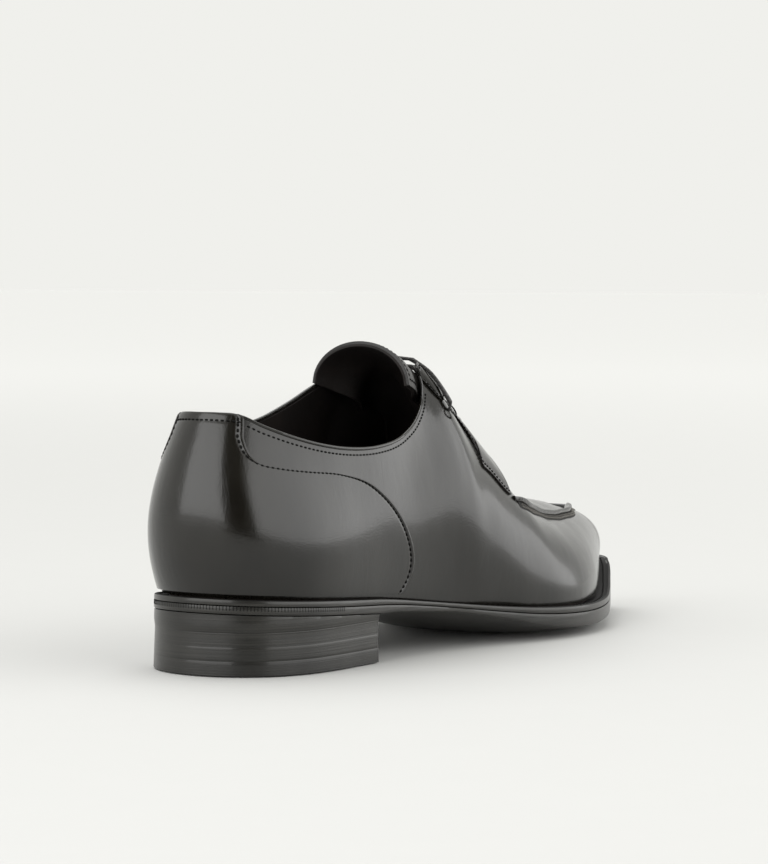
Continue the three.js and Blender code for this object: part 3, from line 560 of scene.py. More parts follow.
class Paint:
    """A procedural material on one Principled shader."""

    def __init__(self, name, **constants):
        self.material = bpy.data.materials.new(name)
        self.material.use_nodes = True
        self.tree = self.material.node_tree
        self.shader = self.tree.nodes["Principled BSDF"]
        for key, value in constants.items():
            self.shader.inputs[key.replace("_", " ")].default_value = value
        coords = self.tree.nodes.new("ShaderNodeTexCoord")
        self.place = coords.outputs["Object"]
        self.along = coords.outputs["UV"]

    def node(self, kind, settings, *inputs, **named):
        node = self.tree.nodes.new(kind)
        for key, value in settings.items():
            setattr(node, key, value)
        for key, value in list(enumerate(inputs)) + list(named.items()):
            socket = node.inputs[key.replace("_", " ")] if isinstance(key, str) else node.inputs[key]
            self.feed(socket, value)
        return node

    def feed(self, socket, value):
        if value is None:
            return
        if isinstance(value, Value):
            value = value.socket
        if isinstance(value, bpy.types.NodeSocket):
            self.tree.links.new(value, socket)
        else:
            socket.default_value = value

    def noise(self, scale, detail=4.0, rough=0.55, vector=None, stretch=None, distort=0.0):
        vector = vector or self.place
        if stretch:
            vector = self.node("ShaderNodeMapping", {}, Vector=vector, Scale=stretch).outputs[0]
        node = self.node("ShaderNodeTexNoise", {}, Vector=vector, Scale=scale, Detail=detail, Roughness=rough,
                         Distortion=distort)
        return Value(self, node.outputs["Fac"])

    def cells(self, scale, feature="F1", vector=None, randomness=1.0):
        node = self.node("ShaderNodeTexVoronoi", dict(feature=feature),
                         Vector=vector or self.place, Scale=scale,
                         Randomness=randomness)
        return Value(self, node.outputs["Distance"])

    def axis(self, index, vector=None):
        node = self.node("ShaderNodeSeparateXYZ", {}, vector or self.place)
        return Value(self, node.outputs[index])

    def mix(self, factor, a, b):
        node = self.tree.nodes.new("ShaderNodeMix")
        node.data_type = "RGBA"
        for key, value in (("Factor_Float", factor), ("A_Color", a), ("B_Color", b)):
            socket = next(s for s in node.inputs if s.identifier == key)
            self.feed(socket, (*value, 1.0) if isinstance(value, tuple) and len(value) == 3 else value)
        return next(s for s in node.outputs if s.identifier == "Result_Color")

    def bump(self, height, distance, strength=1.0, below=None):
        node = self.node("ShaderNodeBump", {}, Strength=strength, Distance=distance, Height=height,
                         Normal=below)
        return node.outputs[0]

    def set(self, **links):
        for key, value in links.items():
            self.feed(self.shader.inputs[key.replace("_", " ")], value)
        return self.material


def calf(name, dark, light, rough=0.17, coat=0.3, grain=1.0, polish=0.09):
    """Polished calf: uneven dye, fine pores, faint wrinkles, a waxed shine and painted shade low down."""
    p = Paint(name, Coat_Roughness=polish, Specular_IOR_Level=0.38, Coat_IOR=1.5)
    cloud = p.noise(26.0, 4.0, 0.6)
    streak = p.noise(70.0, 5.0, 0.6, stretch=(1.0, 1.0, 0.35))
    pores = p.cells(1500.0)
    fibre = p.noise(900.0, 3.0, 0.6)
    dye = (cloud * 0.65 + streak * 0.35).ramp(0.35, 0.68)
    color = p.mix(dye, dark, light)
    # Painted shade: the leather is darkened below 62 mm above the floor, most of all below 28 mm.
    low = 1.0 - p.axis(2).ramp(0.028, 0.062)
    color = p.mix(low * 0.35, color, tuple(c * 0.62 for c in dark))
    wear = p.noise(420.0, 6.0, 0.7, stretch=(1.0, 1.0, 3.0)).ramp(0.62, 0.8)
    wrinkle = p.noise(210.0, 6.0, 0.62, distort=0.8, stretch=(1.0, 1.0, 0.3))
    skin = p.bump(wrinkle, 0.0008 * grain, 0.16)
    skin = p.bump(pores * 0.6 + fibre * 0.4, 0.00012 * grain, 0.30, below=skin)
    return p.set(Base_Color=color, Roughness=(rough + wear * 0.14 + cloud * 0.08),
                 Coat_Weight=(coat - wear * 0.15),
                 Normal=skin)


def lining_leather(name, dark, light):
    p = Paint(name, Specular_IOR_Level=0.35)
    cloud = p.noise(60.0, 5.0, 0.6)
    nap = p.noise(1400.0, 3.0, 0.6)
    return p.set(Base_Color=p.mix(cloud.ramp(0.35, 0.7), dark, light), Roughness=(0.62 + nap * 0.2),
                 Normal=p.bump(nap, 0.0002, 0.35))


def edge_leather(name, dark, light):
    """Stacked sole leather seen from its edge: fine level lines under burnished ink."""
    p = Paint(name, Coat_Roughness=0.12, Specular_IOR_Level=0.34)
    lines = p.noise(60.0, 6.0, 0.65, stretch=(0.12, 0.12, 26.0))
    stain = p.noise(38.0, 4.0, 0.6)
    scuff = p.noise(240.0, 5.0, 0.7, stretch=(0.6, 0.6, 2.5)).ramp(0.68, 0.8)
    color = p.mix((lines * 0.55 + stain * 0.45).ramp(0.36, 0.66), dark, light)
    color = p.mix(scuff * 0.4, color, tuple(c * 2.0 for c in light))
    normal = p.bump(lines, 0.00035, 0.35)
    normal = p.bump(p.noise(1300.0, 3.0, 0.6), 0.00012, 0.2, below=normal)
    return p.set(Base_Color=color, Roughness=(0.33 + scuff * 0.25 + lines * 0.1),
                 Coat_Weight=(0.3 - scuff * 0.25),
                 Normal=normal)


def thread(name, dark, light):
    p = Paint(name, Specular_IOR_Level=0.12)
    twist = p.noise(2600.0, 2.0, 0.5, stretch=(1.0, 2.5, 1.0))
    return p.set(Base_Color=p.mix(twist, dark, light), Roughness=(0.5 + twist * 0.2),
                 Normal=p.bump(twist, 0.0002, 0.6))


def lace_weave(name, dark, light):
    """A flat waxed cotton lace: a herringbone of crossing yarns along its length."""
    p = Paint(name, Specular_IOR_Level=0.35, Sheen_Weight=0.15)
    u = p.axis(0, p.along)
    v = p.axis(1, p.along)
    one = (u * 2600.0 + v * 1500.0).math("SINE")
    two = (u * 2600.0 - v * 1500.0).math("SINE")
    weave = one.math("MAXIMUM", two)
    fuzz = p.noise(3000.0, 2.0, 0.6)
    return p.set(Base_Color=p.mix((weave * 0.4 + fuzz * 0.6).clamp(), dark, light),
                 Roughness=(0.62 + fuzz * 0.15),
                 Normal=p.bump(weave * 0.8 + fuzz * 0.3, 0.0003, 0.6))


def rubber(name, dark, light):
    p = Paint(name, Specular_IOR_Level=0.4)
    stipple = p.noise(1500.0, 3.0, 0.6)
    dust = p.noise(45.0, 5.0, 0.65)
    return p.set(Base_Color=p.mix(dust.ramp(0.45, 0.75), dark, light), Roughness=(0.55 + stipple * 0.2),
                 Normal=p.bump(stipple, 0.0002, 0.3))


def underside(name, dark, light):
    """The sole's underside: waxed leather with a few scratches along its length."""
    p = Paint(name, Coat_Roughness=0.2)
    cloud = p.noise(30.0, 5.0, 0.6)
    scratch = p.noise(160.0, 6.0, 0.7, stretch=(0.16, 1.6, 1.0)).ramp(0.62, 0.72)
    fibre = p.noise(1100.0, 3.0, 0.6)
    color = p.mix(cloud.ramp(0.35, 0.7), dark, light)
    color = p.mix(scratch * 0.35, color, tuple(c * 1.8 for c in light))
    return p.set(Base_Color=color, Roughness=(0.38 + scratch * 0.2), Coat_Weight=(0.25 - scratch * 0.2),
                 Normal=p.bump(fibre + scratch * 0.6, 0.0002, 0.3))


CALF = calf("calf", (0.0040, 0.0034, 0.0024), (0.0110, 0.0098, 0.0074))
TONGUE = calf("tongue_calf", (0.0050, 0.0042, 0.0036), (0.0110, 0.0095, 0.0080),
              rough=0.36, coat=0.12, polish=0.2)
LINING = lining_leather("lining", (0.0040, 0.0022, 0.0016), (0.0080, 0.0045, 0.0032))
SOCK = lining_leather("sock", (0.0110, 0.0060, 0.0042), (0.0210, 0.0120, 0.0085))
THREAD = thread("thread", (0.0010, 0.0009, 0.0008), (0.0030, 0.0027, 0.0023))
HAND_THREAD = thread("hand_thread", (0.0700, 0.0670, 0.0600), (0.2200, 0.2120, 0.1950))
LACE = lace_weave("lace", (0.0045, 0.0040, 0.0035), (0.0180, 0.0160, 0.0140))
WELT = lining_leather("welt", (0.0020, 0.0018, 0.0015), (0.0050, 0.0045, 0.0038))
EDGE = edge_leather("sole_edge", (0.0055, 0.0052, 0.0040), (0.0190, 0.0178, 0.0145))
UNDER = underside("sole_under", (0.0120, 0.0110, 0.0090), (0.0260, 0.0235, 0.0190))
TOP_PIECE = edge_leather("top_piece", (0.0050, 0.0047, 0.0037), (0.0150, 0.0140, 0.0115))
TREAD = rubber("tread", (0.0130, 0.0120, 0.0105), (0.0260, 0.0245, 0.0215))
EYELET = lining_leather("eyelet", (0.0040, 0.0035, 0.0030), (0.0100, 0.0090, 0.0080))


# ---------- the upper ----------
slot_start, slot_end = FACING_ROWS["edgeAt"][0], QUARTER_FRONT["at"][0]
slot_edge = smooth_line(FACING_ROWS["edgeAt"], FACING_ROWS["edgeH"])


def wall_top(at):
    return np.where((at <= slot_start) | (at >= slot_end + 0.0005), 1.0, np.minimum(1.0, slot_edge(at)))


apron_at = APRON_SEAM["at"]
apron_h = smooth_line(np.concatenate([[0, 0.2, 0.4, 0.5, 0.54], apron_at]),
                      np.concatenate([[0.42, 0.42, 0.42, 0.42, 0.423], APRON_SEAM["h"]]))
before = np.arange(0, slot_end - 0.003, 0.0042)
after = np.arange(slot_end + 0.010, 1.0, 0.0046)
stations = np.concatenate([before, [slot_end, slot_end + 0.005], after, [1.0]])
opened = len(before) + 2
below_seam = np.linspace(0, 1, 25)
above_seam = np.array([0.02, 0.045, 0.075, 0.11, 0.15, 0.2, 0.26, 0.32, 0.38, 0.44,
                       0.5, 0.56, 0.62, 0.68, 0.74,
                       0.8, 0.86, 0.91, 0.95, 0.98, 1.0])


def wall_heights(at):
    seam = apron_h(at)[:, None]
    top = wall_top(at)[:, None]
    return np.concatenate([seam * below_seam, seam + (top - seam) * above_seam], 1)


def wall_relief(at, h, mm_per_h):
    """The apron lies a little lower than the seam round it, and the vamp dips under the seam."""
    seam = apron_h(at)
    across = (h - seam) * mm_per_h
    on = ease(at, 0.566, 0.59)
    sunk = -0.95 * np.clip(ease(across, -0.5, 1.2) * (1 - ease(across, 5.0, 20.0)), 0, 1)
    dip = -0.35 * np.exp(-((across + 2.6) / 1.3) ** 2)
    return on * (sunk + dip)


def wall_sheet(side, off, relief=1.0):
    h = wall_heights(stations)
    at = np.broadcast_to(stations[:, None], h.shape)
    place = at if side > 0 else 2 - at
    scale = np.linalg.norm(rib(place, np.clip(h + 0.02, 0, 1)) - rib(place, np.clip(h - 0.02, 0, 1)),
                           axis=-1) / 0.04
    lift = wall_relief(at, h, scale) * relief
    return last(place, h, off + lift)


def wall_piece(name, off_outer, off_inner, paint, node=None):
    verts, faces, uvs = [], [], []
    for side in (1, -1):
        for off, turned in ((off_outer, False), (off_inner, True)):
            sheet = wall_sheet(side, off)
            start = sum(len(v) for v in verts)
            verts.append(sheet.reshape(-1, 3))
            uvs.append(arc_uv(sheet))
            faces += grid_faces(*sheet.shape[:2], start, flip=turned != (side < 0))
        columns = sheet.shape[1]
        outer_start = sum(len(v) for v in verts[:-2])
        inner_start = outer_start + len(verts[-2])
        for i in range(len(stations) - 1):
            a, b = i * columns, (i + 1) * columns
            faces.append((outer_start + a, outer_start + b, inner_start + b, inner_start + a))
            if i < opened - 1:
                a, b = a + columns - 1, b + columns - 1
                faces.append((outer_start + b, outer_start + a, inner_start + a, inner_start + b))
    return finish_piece(name, np.concatenate(verts), faces, np.concatenate(uvs), paint, node, angle=50)


wall_piece("upper_leather", 0.0, -0.95, CALF, "upper")
wall_piece("upper_lining", -1.0, -SIZE["wall"], LINING)

# ---------- the counter, with its folded edge and one row of stitches ----------
seam_row = np.arange(len(COUNTER_SEAM["at"]))
counter_at = smooth_line(seam_row, COUNTER_SEAM["at"])
counter_h = smooth_line(seam_row, COUNTER_SEAM["h"])
counter_back = smooth_line(seam_row, COUNTER_SEAM["back"])
edge_steps = np.array([0, 0.3, 0.65, 1.0, 1.4, 1.75, 2.1, 2.5, 3.0, 3.8, 5.2])


def folded_edge(distance, lip=0.2, groove=0.3, at=2.1):
    """A folded leather edge: a low lip, then the dent that the stitches pull."""
    return lip * np.exp(-((distance - 0.8) / 0.7) ** 2) - groove * np.exp(-((distance - at) / 0.42) ** 2)


def counter_sheets():
    rows = np.concatenate([np.linspace(0, 1, 7)[:-1] * 0.9, np.linspace(0.9, len(seam_row) - 1, 150)])
    reach = np.linalg.norm(np.diff(last(counter_at(rows)[:, None] * np.linspace(0, 1, 20),
                                        np.clip(blend(counter_back(rows)[:, None], counter_h(rows)[:, None],
                                              np.linspace(0, 1, 20)), 0, 1), 0.0), axis=1), axis=-1).sum(1)
    inner_steps = np.linspace(0, 1, 25)[:-1]
    half = []
    for length in reach:
        near = 1 - edge_steps[::-1] / length
        far = inner_steps * near[0]
        half.append(np.concatenate([far, near]))
    half = np.array(half)
    across = np.concatenate([-half[:, :0:-1], half], 1)
    distance = (1 - np.abs(across)) * reach[:, None]
    h = np.clip(blend(counter_back(rows)[:, None], counter_h(rows)[:, None], np.abs(across)), 0, 1)
    at = across * counter_at(rows)[:, None]
    from_top = np.linalg.norm(rib(at, h) - rib(at, np.ones_like(h)), axis=-1)
    relief = folded_edge(distance) + folded_edge(from_top, 0.1, 0.16, 3.0) * (distance > 2.6)
    outer = last(at, h, SIZE["clearance"] + SIZE["overlay"] + relief)
    inner = last(at, h, 0.12)
    return outer, inner


outer, inner = counter_sheets()
shell("counter_leather", outer, inner, CALF, "counter", bevel=0.28)

# ---------- facings ----------
facing_row = np.arange(len(FACING_ROWS["seamAt"]))
facing_line = {name: smooth_line(facing_row, FACING_ROWS[name]) for name in FACING_ROWS}
front_line = smooth_line(QUARTER_FRONT["h"][::-1], QUARTER_FRONT["at"][::-1])


def facing_point(row, u, side, off):
    h = np.clip(blend(facing_line["seamH"](row), facing_line["edgeH"](row), u), 0, 1)
    at = blend(facing_line["seamAt"](row), facing_line["edgeAt"](row), u)
    at = blend(at, front_line(h), ease(row, 9.0, 10.0))
    return last(at if side > 0 else 2 - at, h, off)


def facing_sheets(side):
    rows = np.concatenate([np.linspace(0, 9.8, 110), [9.86, 9.92, 9.97, 10.0]])
    reach = np.linalg.norm(np.diff(facing_point(rows[:, None], np.linspace(0, 1, 16)[None],
                                                side, 0.0), axis=1),
                           axis=-1).sum(1)
    middle = np.linspace(0, 1, 15)
    across = []
    for length in reach:
        near = np.array([0, 0.3, 0.65, 1.0, 1.4, 1.8, 2.3]) / max(length, 9.0)
        across.append(np.concatenate([near, near[-1] + (1 - 2 * near[-1]) * middle[1:-1], 1 - near[::-1]]))
    across = np.array(across)
    row = np.broadcast_to(rows[:, None], across.shape)
    from_seam = across * reach[:, None]
    from_edge = (1 - across) * reach[:, None]
    to_front = (10.0 - row) * 6.0
    full = blend(0.55, 1.12, ease(from_seam, 0.0, 7.0))
    relief = -0.2 * np.exp(-((from_seam - 1.3) / 0.4) ** 2) + folded_edge(from_edge, 0.1, 0.12, 1.9)
    relief = relief + 0.1 * np.exp(-((to_front - 0.8) / 0.8) ** 2)
    return facing_point(row, across, side, 0.2 + full + relief), facing_point(row, across, side, 0.08)


for side, word in ((1, "outside"), (-1, "inside")):
    outer, inner = facing_sheets(side)
    shell(f"facing_{word}_leather", outer, inner, CALF, f"facing_{word}", bevel=0.26)


# ---------- the raised apron seam and its hand stitches ----------
def apron_place(count):
    share = np.linspace(0, 1, count)
    first = apron_at[0]
    place = blend(first, 2 - first, share)
    at = np.minimum(place, 2 - place)
    h = smooth_line(apron_at, APRON_SEAM["h"])(at)
    scale = np.linalg.norm(rib(place, h + 0.01) - rib(place, h - 0.01), axis=-1) / 0.02
    return place, h, scale


place, h, scale = apron_place(1100)
run = np.concatenate([[0], np.cumsum(np.linalg.norm(np.diff(rib(place, h), axis=0), axis=-1))])
pucker = 0.5 + 0.5 * np.cos(2 * math.pi * run / 2.1)
taper = ease(run, 0.0, 5.0) * ease(run[-1] - run, 0.0, 5.0)
ridge = [(-0.95, 0.0), (-0.95, 0.6), (-0.7, 1.3), (-0.25, 1.75), (0.25, 1.8), (0.6, 1.5), (0.85, 0.9),
         (0.95, 0.2), (0.95, -0.7), (0.0, -0.8), (-0.95, -0.5)]
rings = []
for across, up in ridge:
    rise = up * (0.45 + 0.55 * taper) if up > 0 else up
    pinch = -0.2 * pucker if across < 0 and up > 0 else 0.0
    rings.append(last(place, h + across / scale, 0.2 + rise + pinch))
tube("apron_ridge", np.stack(rings, 1)[:, ::-1], CALF, "apron_seam")

# Painted shade: a near-black matte band laid over the glossy calf under the ridge, where the hand stitches
# lie.
ground = []
for across, up in ((-0.8, 0.3), (-1.5, 0.16), (-2.4, 0.08), (-3.3, 0.1),
                   (-3.9, -0.1), (-3.9, -0.5), (-0.8, -0.5)):
    ground.append(last(place, h + across / scale, up))
tube("apron_groove", np.stack(ground, 1)[10:-10, ::-1], WELT)
for name, across, up, slant in (("apron_stitches_up", -1.75, 0.3, 0.7),
                                ("apron_stitches_down", -3.0, 0.2, -0.7)):
    side_h = h + across / scale
    line, ups = last(place, side_h, up), last_normal(place, side_h)
    stitches(name, [(line[18:-18], ups[18:-18])], HAND_THREAD, step=2.0, length=1.35, radius=0.27,
             slant=slant)


# ---------- tongue ----------
def refine(control, rows, columns):
    """A smooth fine sheet through a small grid of points."""
    down = smooth_line(np.arange(control.shape[0]), control.reshape(len(control), -1))
    tall = down(np.linspace(0, control.shape[0] - 1, rows)).reshape(rows, control.shape[1], 3)
    over = smooth_line(np.arange(control.shape[1]), tall.transpose(1, 0, 2).reshape(control.shape[1], -1))
    return over(np.linspace(0, control.shape[1] - 1, columns)).reshape(columns, rows, 3).transpose(1, 0, 2)


def sheet_normals(grid):
    n = np.cross(np.gradient(grid, axis=0), np.gradient(grid, axis=1))
    return n / np.maximum(np.linalg.norm(n, axis=-1, keepdims=True), 1e-9)


def tongue_control():
    across = np.linspace(-1, 1, 13)
    rows = []
    for at, side in zip(TONGUE_ROWS["at"], TONGUE_ROWS["side"]):
        places = np.where(across < 0, at, 2 - at)
        rows.append(last(places, 1 - np.abs(across) * (1 - side), -SIZE["wall"] - SIZE["tongue_gap"]))
    crest_x = SIZE["length"] * R["x"][12]
    for x, y, rise, width, drop in zip(*(TONGUE_TOP[key] for key in ("x", "y", "rise", "width", "drop"))):
        turn = across * math.radians(88)
        crest = sole_top(crest_x) + rise * SIZE["instep"]
        rows.append(np.stack([np.full(13, x * SIZE["length"]),
                              y * SIZE["swing"] + width * SIZE["tongue_width"] / 2 * np.sin(turn),
                              crest - drop * SIZE["tongue_width"] / 2 * (1 - np.cos(turn))], -1))
    return np.stack(rows)


tongue = refine(tongue_control(), 110, 90)
normals = sheet_normals(tongue)
if normals[55, 45, 2] < 0:
    normals = -normals
columns_in = np.minimum(np.arange(90), np.arange(90)[::-1]) * 0.62
rows_in = (109 - np.arange(110)) * 0.75
rim = np.minimum(columns_in[None, :], rows_in[:, None])
relief = folded_edge(rim, 0.16, 0.2, 3.0)
shell("tongue_leather", tongue + normals * relief[..., None], tongue - normals * 1.0,
      TONGUE, "tongue",
      bevel=0.25)
shell("tongue_lining", tongue - normals * 1.06, tongue - normals * 1.95, LINING, bevel=0.2)


def border(grid, distance_rows, distance_columns, off):
    """A line round the free edge of a sheet, a little way in."""
    r, c = distance_rows, distance_columns
    path = np.concatenate([grid[60:-r, c], grid[-r, c:-c], grid[60:-r, -c][::-1]])
    ups = np.concatenate([normals[60:-r, c], normals[-r, c:-c], normals[60:-r, -c][::-1]])
    return path + ups * off, ups


# ---------- the vamp's end: it runs on between the facings and down under the tongue's foot ----------
share = np.linspace(0, 1, 34)[:, None]
across = np.linspace(-1, 1, 41)[None]
at = blend(0.602, 0.532, share) + 0 * across
off = blend(0.07, -2.3, ease(share, 0.2, 0.95)) + 0 * across
place = np.where(across < 0, at, 2 - at)
height = 1 - np.abs(across) * 0.15 + 0 * share
shell("vamp_end", last(place, height, off)[::-1], last(place, height, off - 0.5)[::-1],
      CALF, bevel=0.1)

# ---------- laces through their eyelets ----------
bars = 5
eyelet_h = 0.735
for number in range(1, bars + 1):
    at = blend(0.4695, 0.548, (number - 1) / (bars - 1))
    way = rib(at + 0.01, 1.0) - rib(at - 0.01, 1.0)
    way /= np.linalg.norm(way)
    u = np.linspace(-1, 1, 61)
    places = np.where(u < 0, at, 2 - at)
    heights = 1 - np.abs(u) * (1 - eyelet_h)
    dive = ease(np.abs(u), 0.9, 1.0)
    lift = blend(SIZE["overlay"] + SIZE["lace_gap"] + 0.15, -0.9, dive)
    lift = lift - 0.35 * ease(np.abs(u), 0.35, 0.85) * (1 - dive) - 1.1 * (1 - ease(np.abs(u), 0.0, 0.45))
    half = blend(1.95, 0.95, ease(np.abs(u), 0.84, 0.96))
    thick = blend(0.75, 0.9, dive)
    middle = last(places, heights, lift)
    up = last_normal(places, heights)
    up[30] = (up[29] + up[31]) / 2
    along = np.broadcast_to(way, middle.shape)
    along = along - up * (along * up).sum(-1, keepdims=True)
    along /= np.linalg.norm(along, axis=-1, keepdims=True)
    rings = []
    for angle in np.linspace(0, 2 * math.pi, 17)[:-1]:
        c, s = math.cos(angle), math.sin(angle)
        rings.append(middle + along * (np.sign(c) * abs(c) ** 0.7 * half)[:, None]
                     + up * (np.sign(s) * abs(s) ** 0.7 * thick)[:, None])
    tube(f"lace_{number}", np.stack(rings, 1), LACE, f"lace_bar_{number}")
    for side, word in ((1, "outside"), (-1, "inside")):
        spot = at if side > 0 else 2 - at
        center = last(spot, eyelet_h, 1.36)
        up_here = last_normal(spot, eyelet_h)
        turn = np.linspace(0, 2 * math.pi, 29)[:-1]
        e1 = np.cross(up_here, way)
        e1 /= np.linalg.norm(e1)
        e2 = np.cross(up_here, e1)
        profile = np.linspace(0, 2 * math.pi, 9)[:-1]
        rim_rings = []
        for t in turn:
            out = e1 * math.cos(t) + e2 * math.sin(t)
            rim_rings.append([center + out * (2.15 + 0.42 * math.cos(a)) + up_here * 0.32 * math.sin(a)
                              for a in profile])
        tube(f"eyelet_{word}_{number}", np.array(rim_rings), EYELET, closed=True)

# ---------- machine stitches ----------
seam_rows = []
for side in (1, -1):
    params = np.linspace(0.15, len(seam_row) - 1.05, 700)
    at = counter_at(params)
    h = np.clip(counter_h(params), 0, 1)
    back = np.clip(counter_back(params), 0, 1)
    centre = rib(at * 0.0, back)
    span = np.linalg.norm(np.diff(last(at[:, None] * np.linspace(0, 1, 14), blend(back[:, None], h[:, None],
                          np.linspace(0, 1, 14)), 0.0), axis=1), axis=-1).sum(1)
    share = 1 - 2.1 / span
    place, height = at * share, blend(back, h, share)
    place = place if side > 0 else 2 - place
    seam_rows.append((last(place, height, 1.4 - 0.12), last_normal(place, height)))
stitches("counter_stitches", seam_rows, THREAD, step=2.1, length=1.45, radius=0.38)

seam_rows = []
for side in (1, -1):
    params = np.concatenate([np.linspace(0.35, 9.0, 260), np.linspace(9.0, 10.0, 40)])
    span = np.linalg.norm(np.diff(facing_point(params[:, None], np.linspace(0, 1, 12)[None],
                                               side, 0.0), axis=1),
                          axis=-1).sum(1)
    for rows_here, u_here, off in ((params, 1.3 / span, 0.75), (params[:270], 1 - 1.9 / span[:270], 1.38)):
        ups = facing_point(rows_here, u_here, side, 2.0) - facing_point(rows_here, u_here, side, 1.0)
        seam_rows.append((facing_point(rows_here, u_here, side, off), ups))
stitches("facing_stitches", seam_rows, THREAD, step=1.8, length=1.25, radius=0.28)

seam_rows = []
for side in (1, -1):
    for low, high, off in ((0.0, 0.062, 1.34), (0.069, 0.428, -0.02)):
        at = np.linspace(low, high, 260)
        drop = 2.9 / np.maximum(np.linalg.norm(rib(at, np.ones_like(at))
                                               - rib(at, np.full_like(at, 0.95)), axis=-1)
                                / 0.05, 1.0)
        place = at if side > 0 else 2 - at
        seam_rows.append((last(place, 1 - drop, off), last_normal(place, 1 - drop)))
stitches("collar_stitches", seam_rows, THREAD, step=2.0, length=1.4, radius=0.36)
stitches("tongue_stitches", [border(tongue, 4, 5, 0.0)], THREAD, step=2.0, length=1.4, radius=0.3)

# ---------- collar binding: the turned edge of the quarters ----------
rings = []
side_at = np.linspace(0, slot_start - 0.004, 220)
loop_at = np.concatenate([2 - side_at[:0:-1], side_at])
turn = np.linspace(0, 2 * math.pi, 13)[:-1]
top = last(loop_at, np.ones_like(loop_at), -0.5)
up = rib(loop_at, np.ones_like(loop_at)) - rib(loop_at, np.full_like(loop_at, 0.97))
up /= np.linalg.norm(up, axis=-1, keepdims=True)
out = last_normal(loop_at, np.full_like(loop_at, 0.995))
for a in turn:
    rings.append(top + out * 0.78 * math.cos(a) + up * (0.7 * math.sin(a) - 0.15))
tube("collar_binding", np.stack(rings, 1), CALF)

# ---------- welt with its stitches ----------
round_at = np.linspace(0, 2, 721)[:-1]


def ring_line(distance, height):
    """A line round the sole: a distance in from the outline, and a height of its place along it."""
    distance = distance(round_at) if callable(distance) else np.full_like(round_at, distance)
    plan = inset(round_at, distance)
    return np.concatenate([plan, height(plan[:, 0])[:, None]], 1)


between = lambda share: (lambda x: blend(welt_bottom(x), sole_top(x), share))
feather_in = lambda at: ledge(at) + SIZE["wall"]
welt_rings = [
    ring_line(0.12, between(0.03)), ring_line(0.03, between(0.16)), ring_line(0.03, between(0.62)),
    ring_line(0.2, between(0.86)), ring_line(0.6, between(0.97)), ring_line(1.1, between(0.985)),
    ring_line(1.5, between(0.86)),
    ring_line(lambda at: ledge(at) * 0.55, between(0.8)),
    ring_line(lambda at: ledge(at) - 0.3, between(0.72)),
    ring_line(feather_in, between(0.7)), ring_line(feather_in, between(0.02)), ring_line(0.8, between(0.0)),
]
tube("welt_strip", np.stack(welt_rings, 1), WELT, "welt", closed=True)
line = ring_line(lambda at: ledge(at) * 0.55, between(0.84))
stitches("welt_stitches", [(line, np.tile([0.0, 0.0, 1.0], (len(line), 1)))],
         THREAD, step=3.0, length=2.3,
         radius=0.36, sink=0.02)

# ---------- outsole ----------
spine_x = smooth_line([0, 0.15, 0.35, 0.65, 0.85, 1], [0.08, 0.14, 0.33, 0.66, 0.86, 0.93])
spine_y = smooth_line([0, 0.25, 0.45, 0.7, 1], [0, 0, 0.35, 0.9, 0.97])


def spine():
    at = np.minimum(round_at, 2 - round_at)
    x = spine_x(at)
    return np.stack([x * SIZE["length"], spine_y(x) * SIZE["swing"]], -1)


def pressed(x):
    share = np.abs(x / SIZE["length"] - 0.67) / 0.12
    return sole_middle(x) - SIZE["ball_press"] * np.maximum(0, 1 - share * share)


def sole_solid(name, profile, paint, node):
    """A flat-lying solid from lines round the sole, closed over the middle on top and underneath."""
    middle = spine()
    lines = []
    for kind, value, height in profile:
        if kind == "edge":
            lines.append(ring_line(value, height))
        else:
            base = inset(round_at, value[0])
            plan = blend(base, middle, value[1])
            lines.append(np.concatenate([plan, height(plan[:, 0], value[1])[:, None]], 1))
    grid = np.stack(lines, 1)
    rows, columns = grid.shape[:2]
    faces = []
    for i in range(rows):
        for j in range(columns - 1):
            a, b = i * columns + j, ((i + 1) % rows) * columns + j
            faces.append((a, b, b + 1, a + 1))
    half = rows // 2
    for edge in (0, columns - 1):
        for i in range(half):
            a, b = i, i + 1
            c, d = (rows - i - 1) % rows, (rows - i) % rows
            quad = [a * columns + edge, b * columns + edge, c * columns + edge, d * columns + edge]
            unique = list(dict.fromkeys(quad))
            if len(unique) >= 3:
                faces.append(tuple(unique))
    return finish_piece(name, grid.reshape(-1, 3), faces, None, paint, node, angle=40)


low_top = lambda x: welt_bottom(x) - SIZE["clearance"]
edge_mix = lambda share: (lambda x: blend(sole_corner(x), low_top(x), share))
under_height = lambda x, share: np.maximum(0, blend(pressed(x), sole_corner(x), (1 - share) ** 3))
sole_solid("outsole_leather", [
    ("middle", (0.4, 1.0), lambda x, share: low_top(x)), ("middle", (0.4, 0.5), lambda x, share: low_top(x)),
    ("edge", 1.4, low_top), ("edge", 0.5, low_top),
    ("edge", 0.1, edge_mix(0.985)), ("edge", 0.02, edge_mix(0.93)),
    ("edge", 0.0, edge_mix(0.65)), ("edge", 0.0, edge_mix(0.4)), ("edge", 0.02, edge_mix(0.15)),
    ("edge", 0.12, edge_mix(0.04)), ("edge", 0.45, edge_mix(0.0)), ("middle", (0.5, 0.02), under_height),
    ("middle", (0.5, 0.06), under_height), ("middle", (0.5, 0.12), under_height),
    ("middle", (0.5, 0.2), under_height),
    ("middle", (0.5, 0.32), under_height), ("middle", (0.5, 0.46), under_height),
    ("middle", (0.5, 0.62), under_height),
    ("middle", (0.5, 0.8), under_height), ("middle", (0.5, 1.0), under_height),
], EDGE, "outsole")


def second_finish(name, paint, low, high):
    """Another finish on a piece's faces whose upward share lies between two values."""
    mesh = bpy.data.objects[name].data
    mesh.materials.append(paint)
    for face in mesh.polygons:
        if low < face.normal.z < high:
            face.material_index = 1


second_finish("outsole_leather", UNDER, -1.1, -0.82)


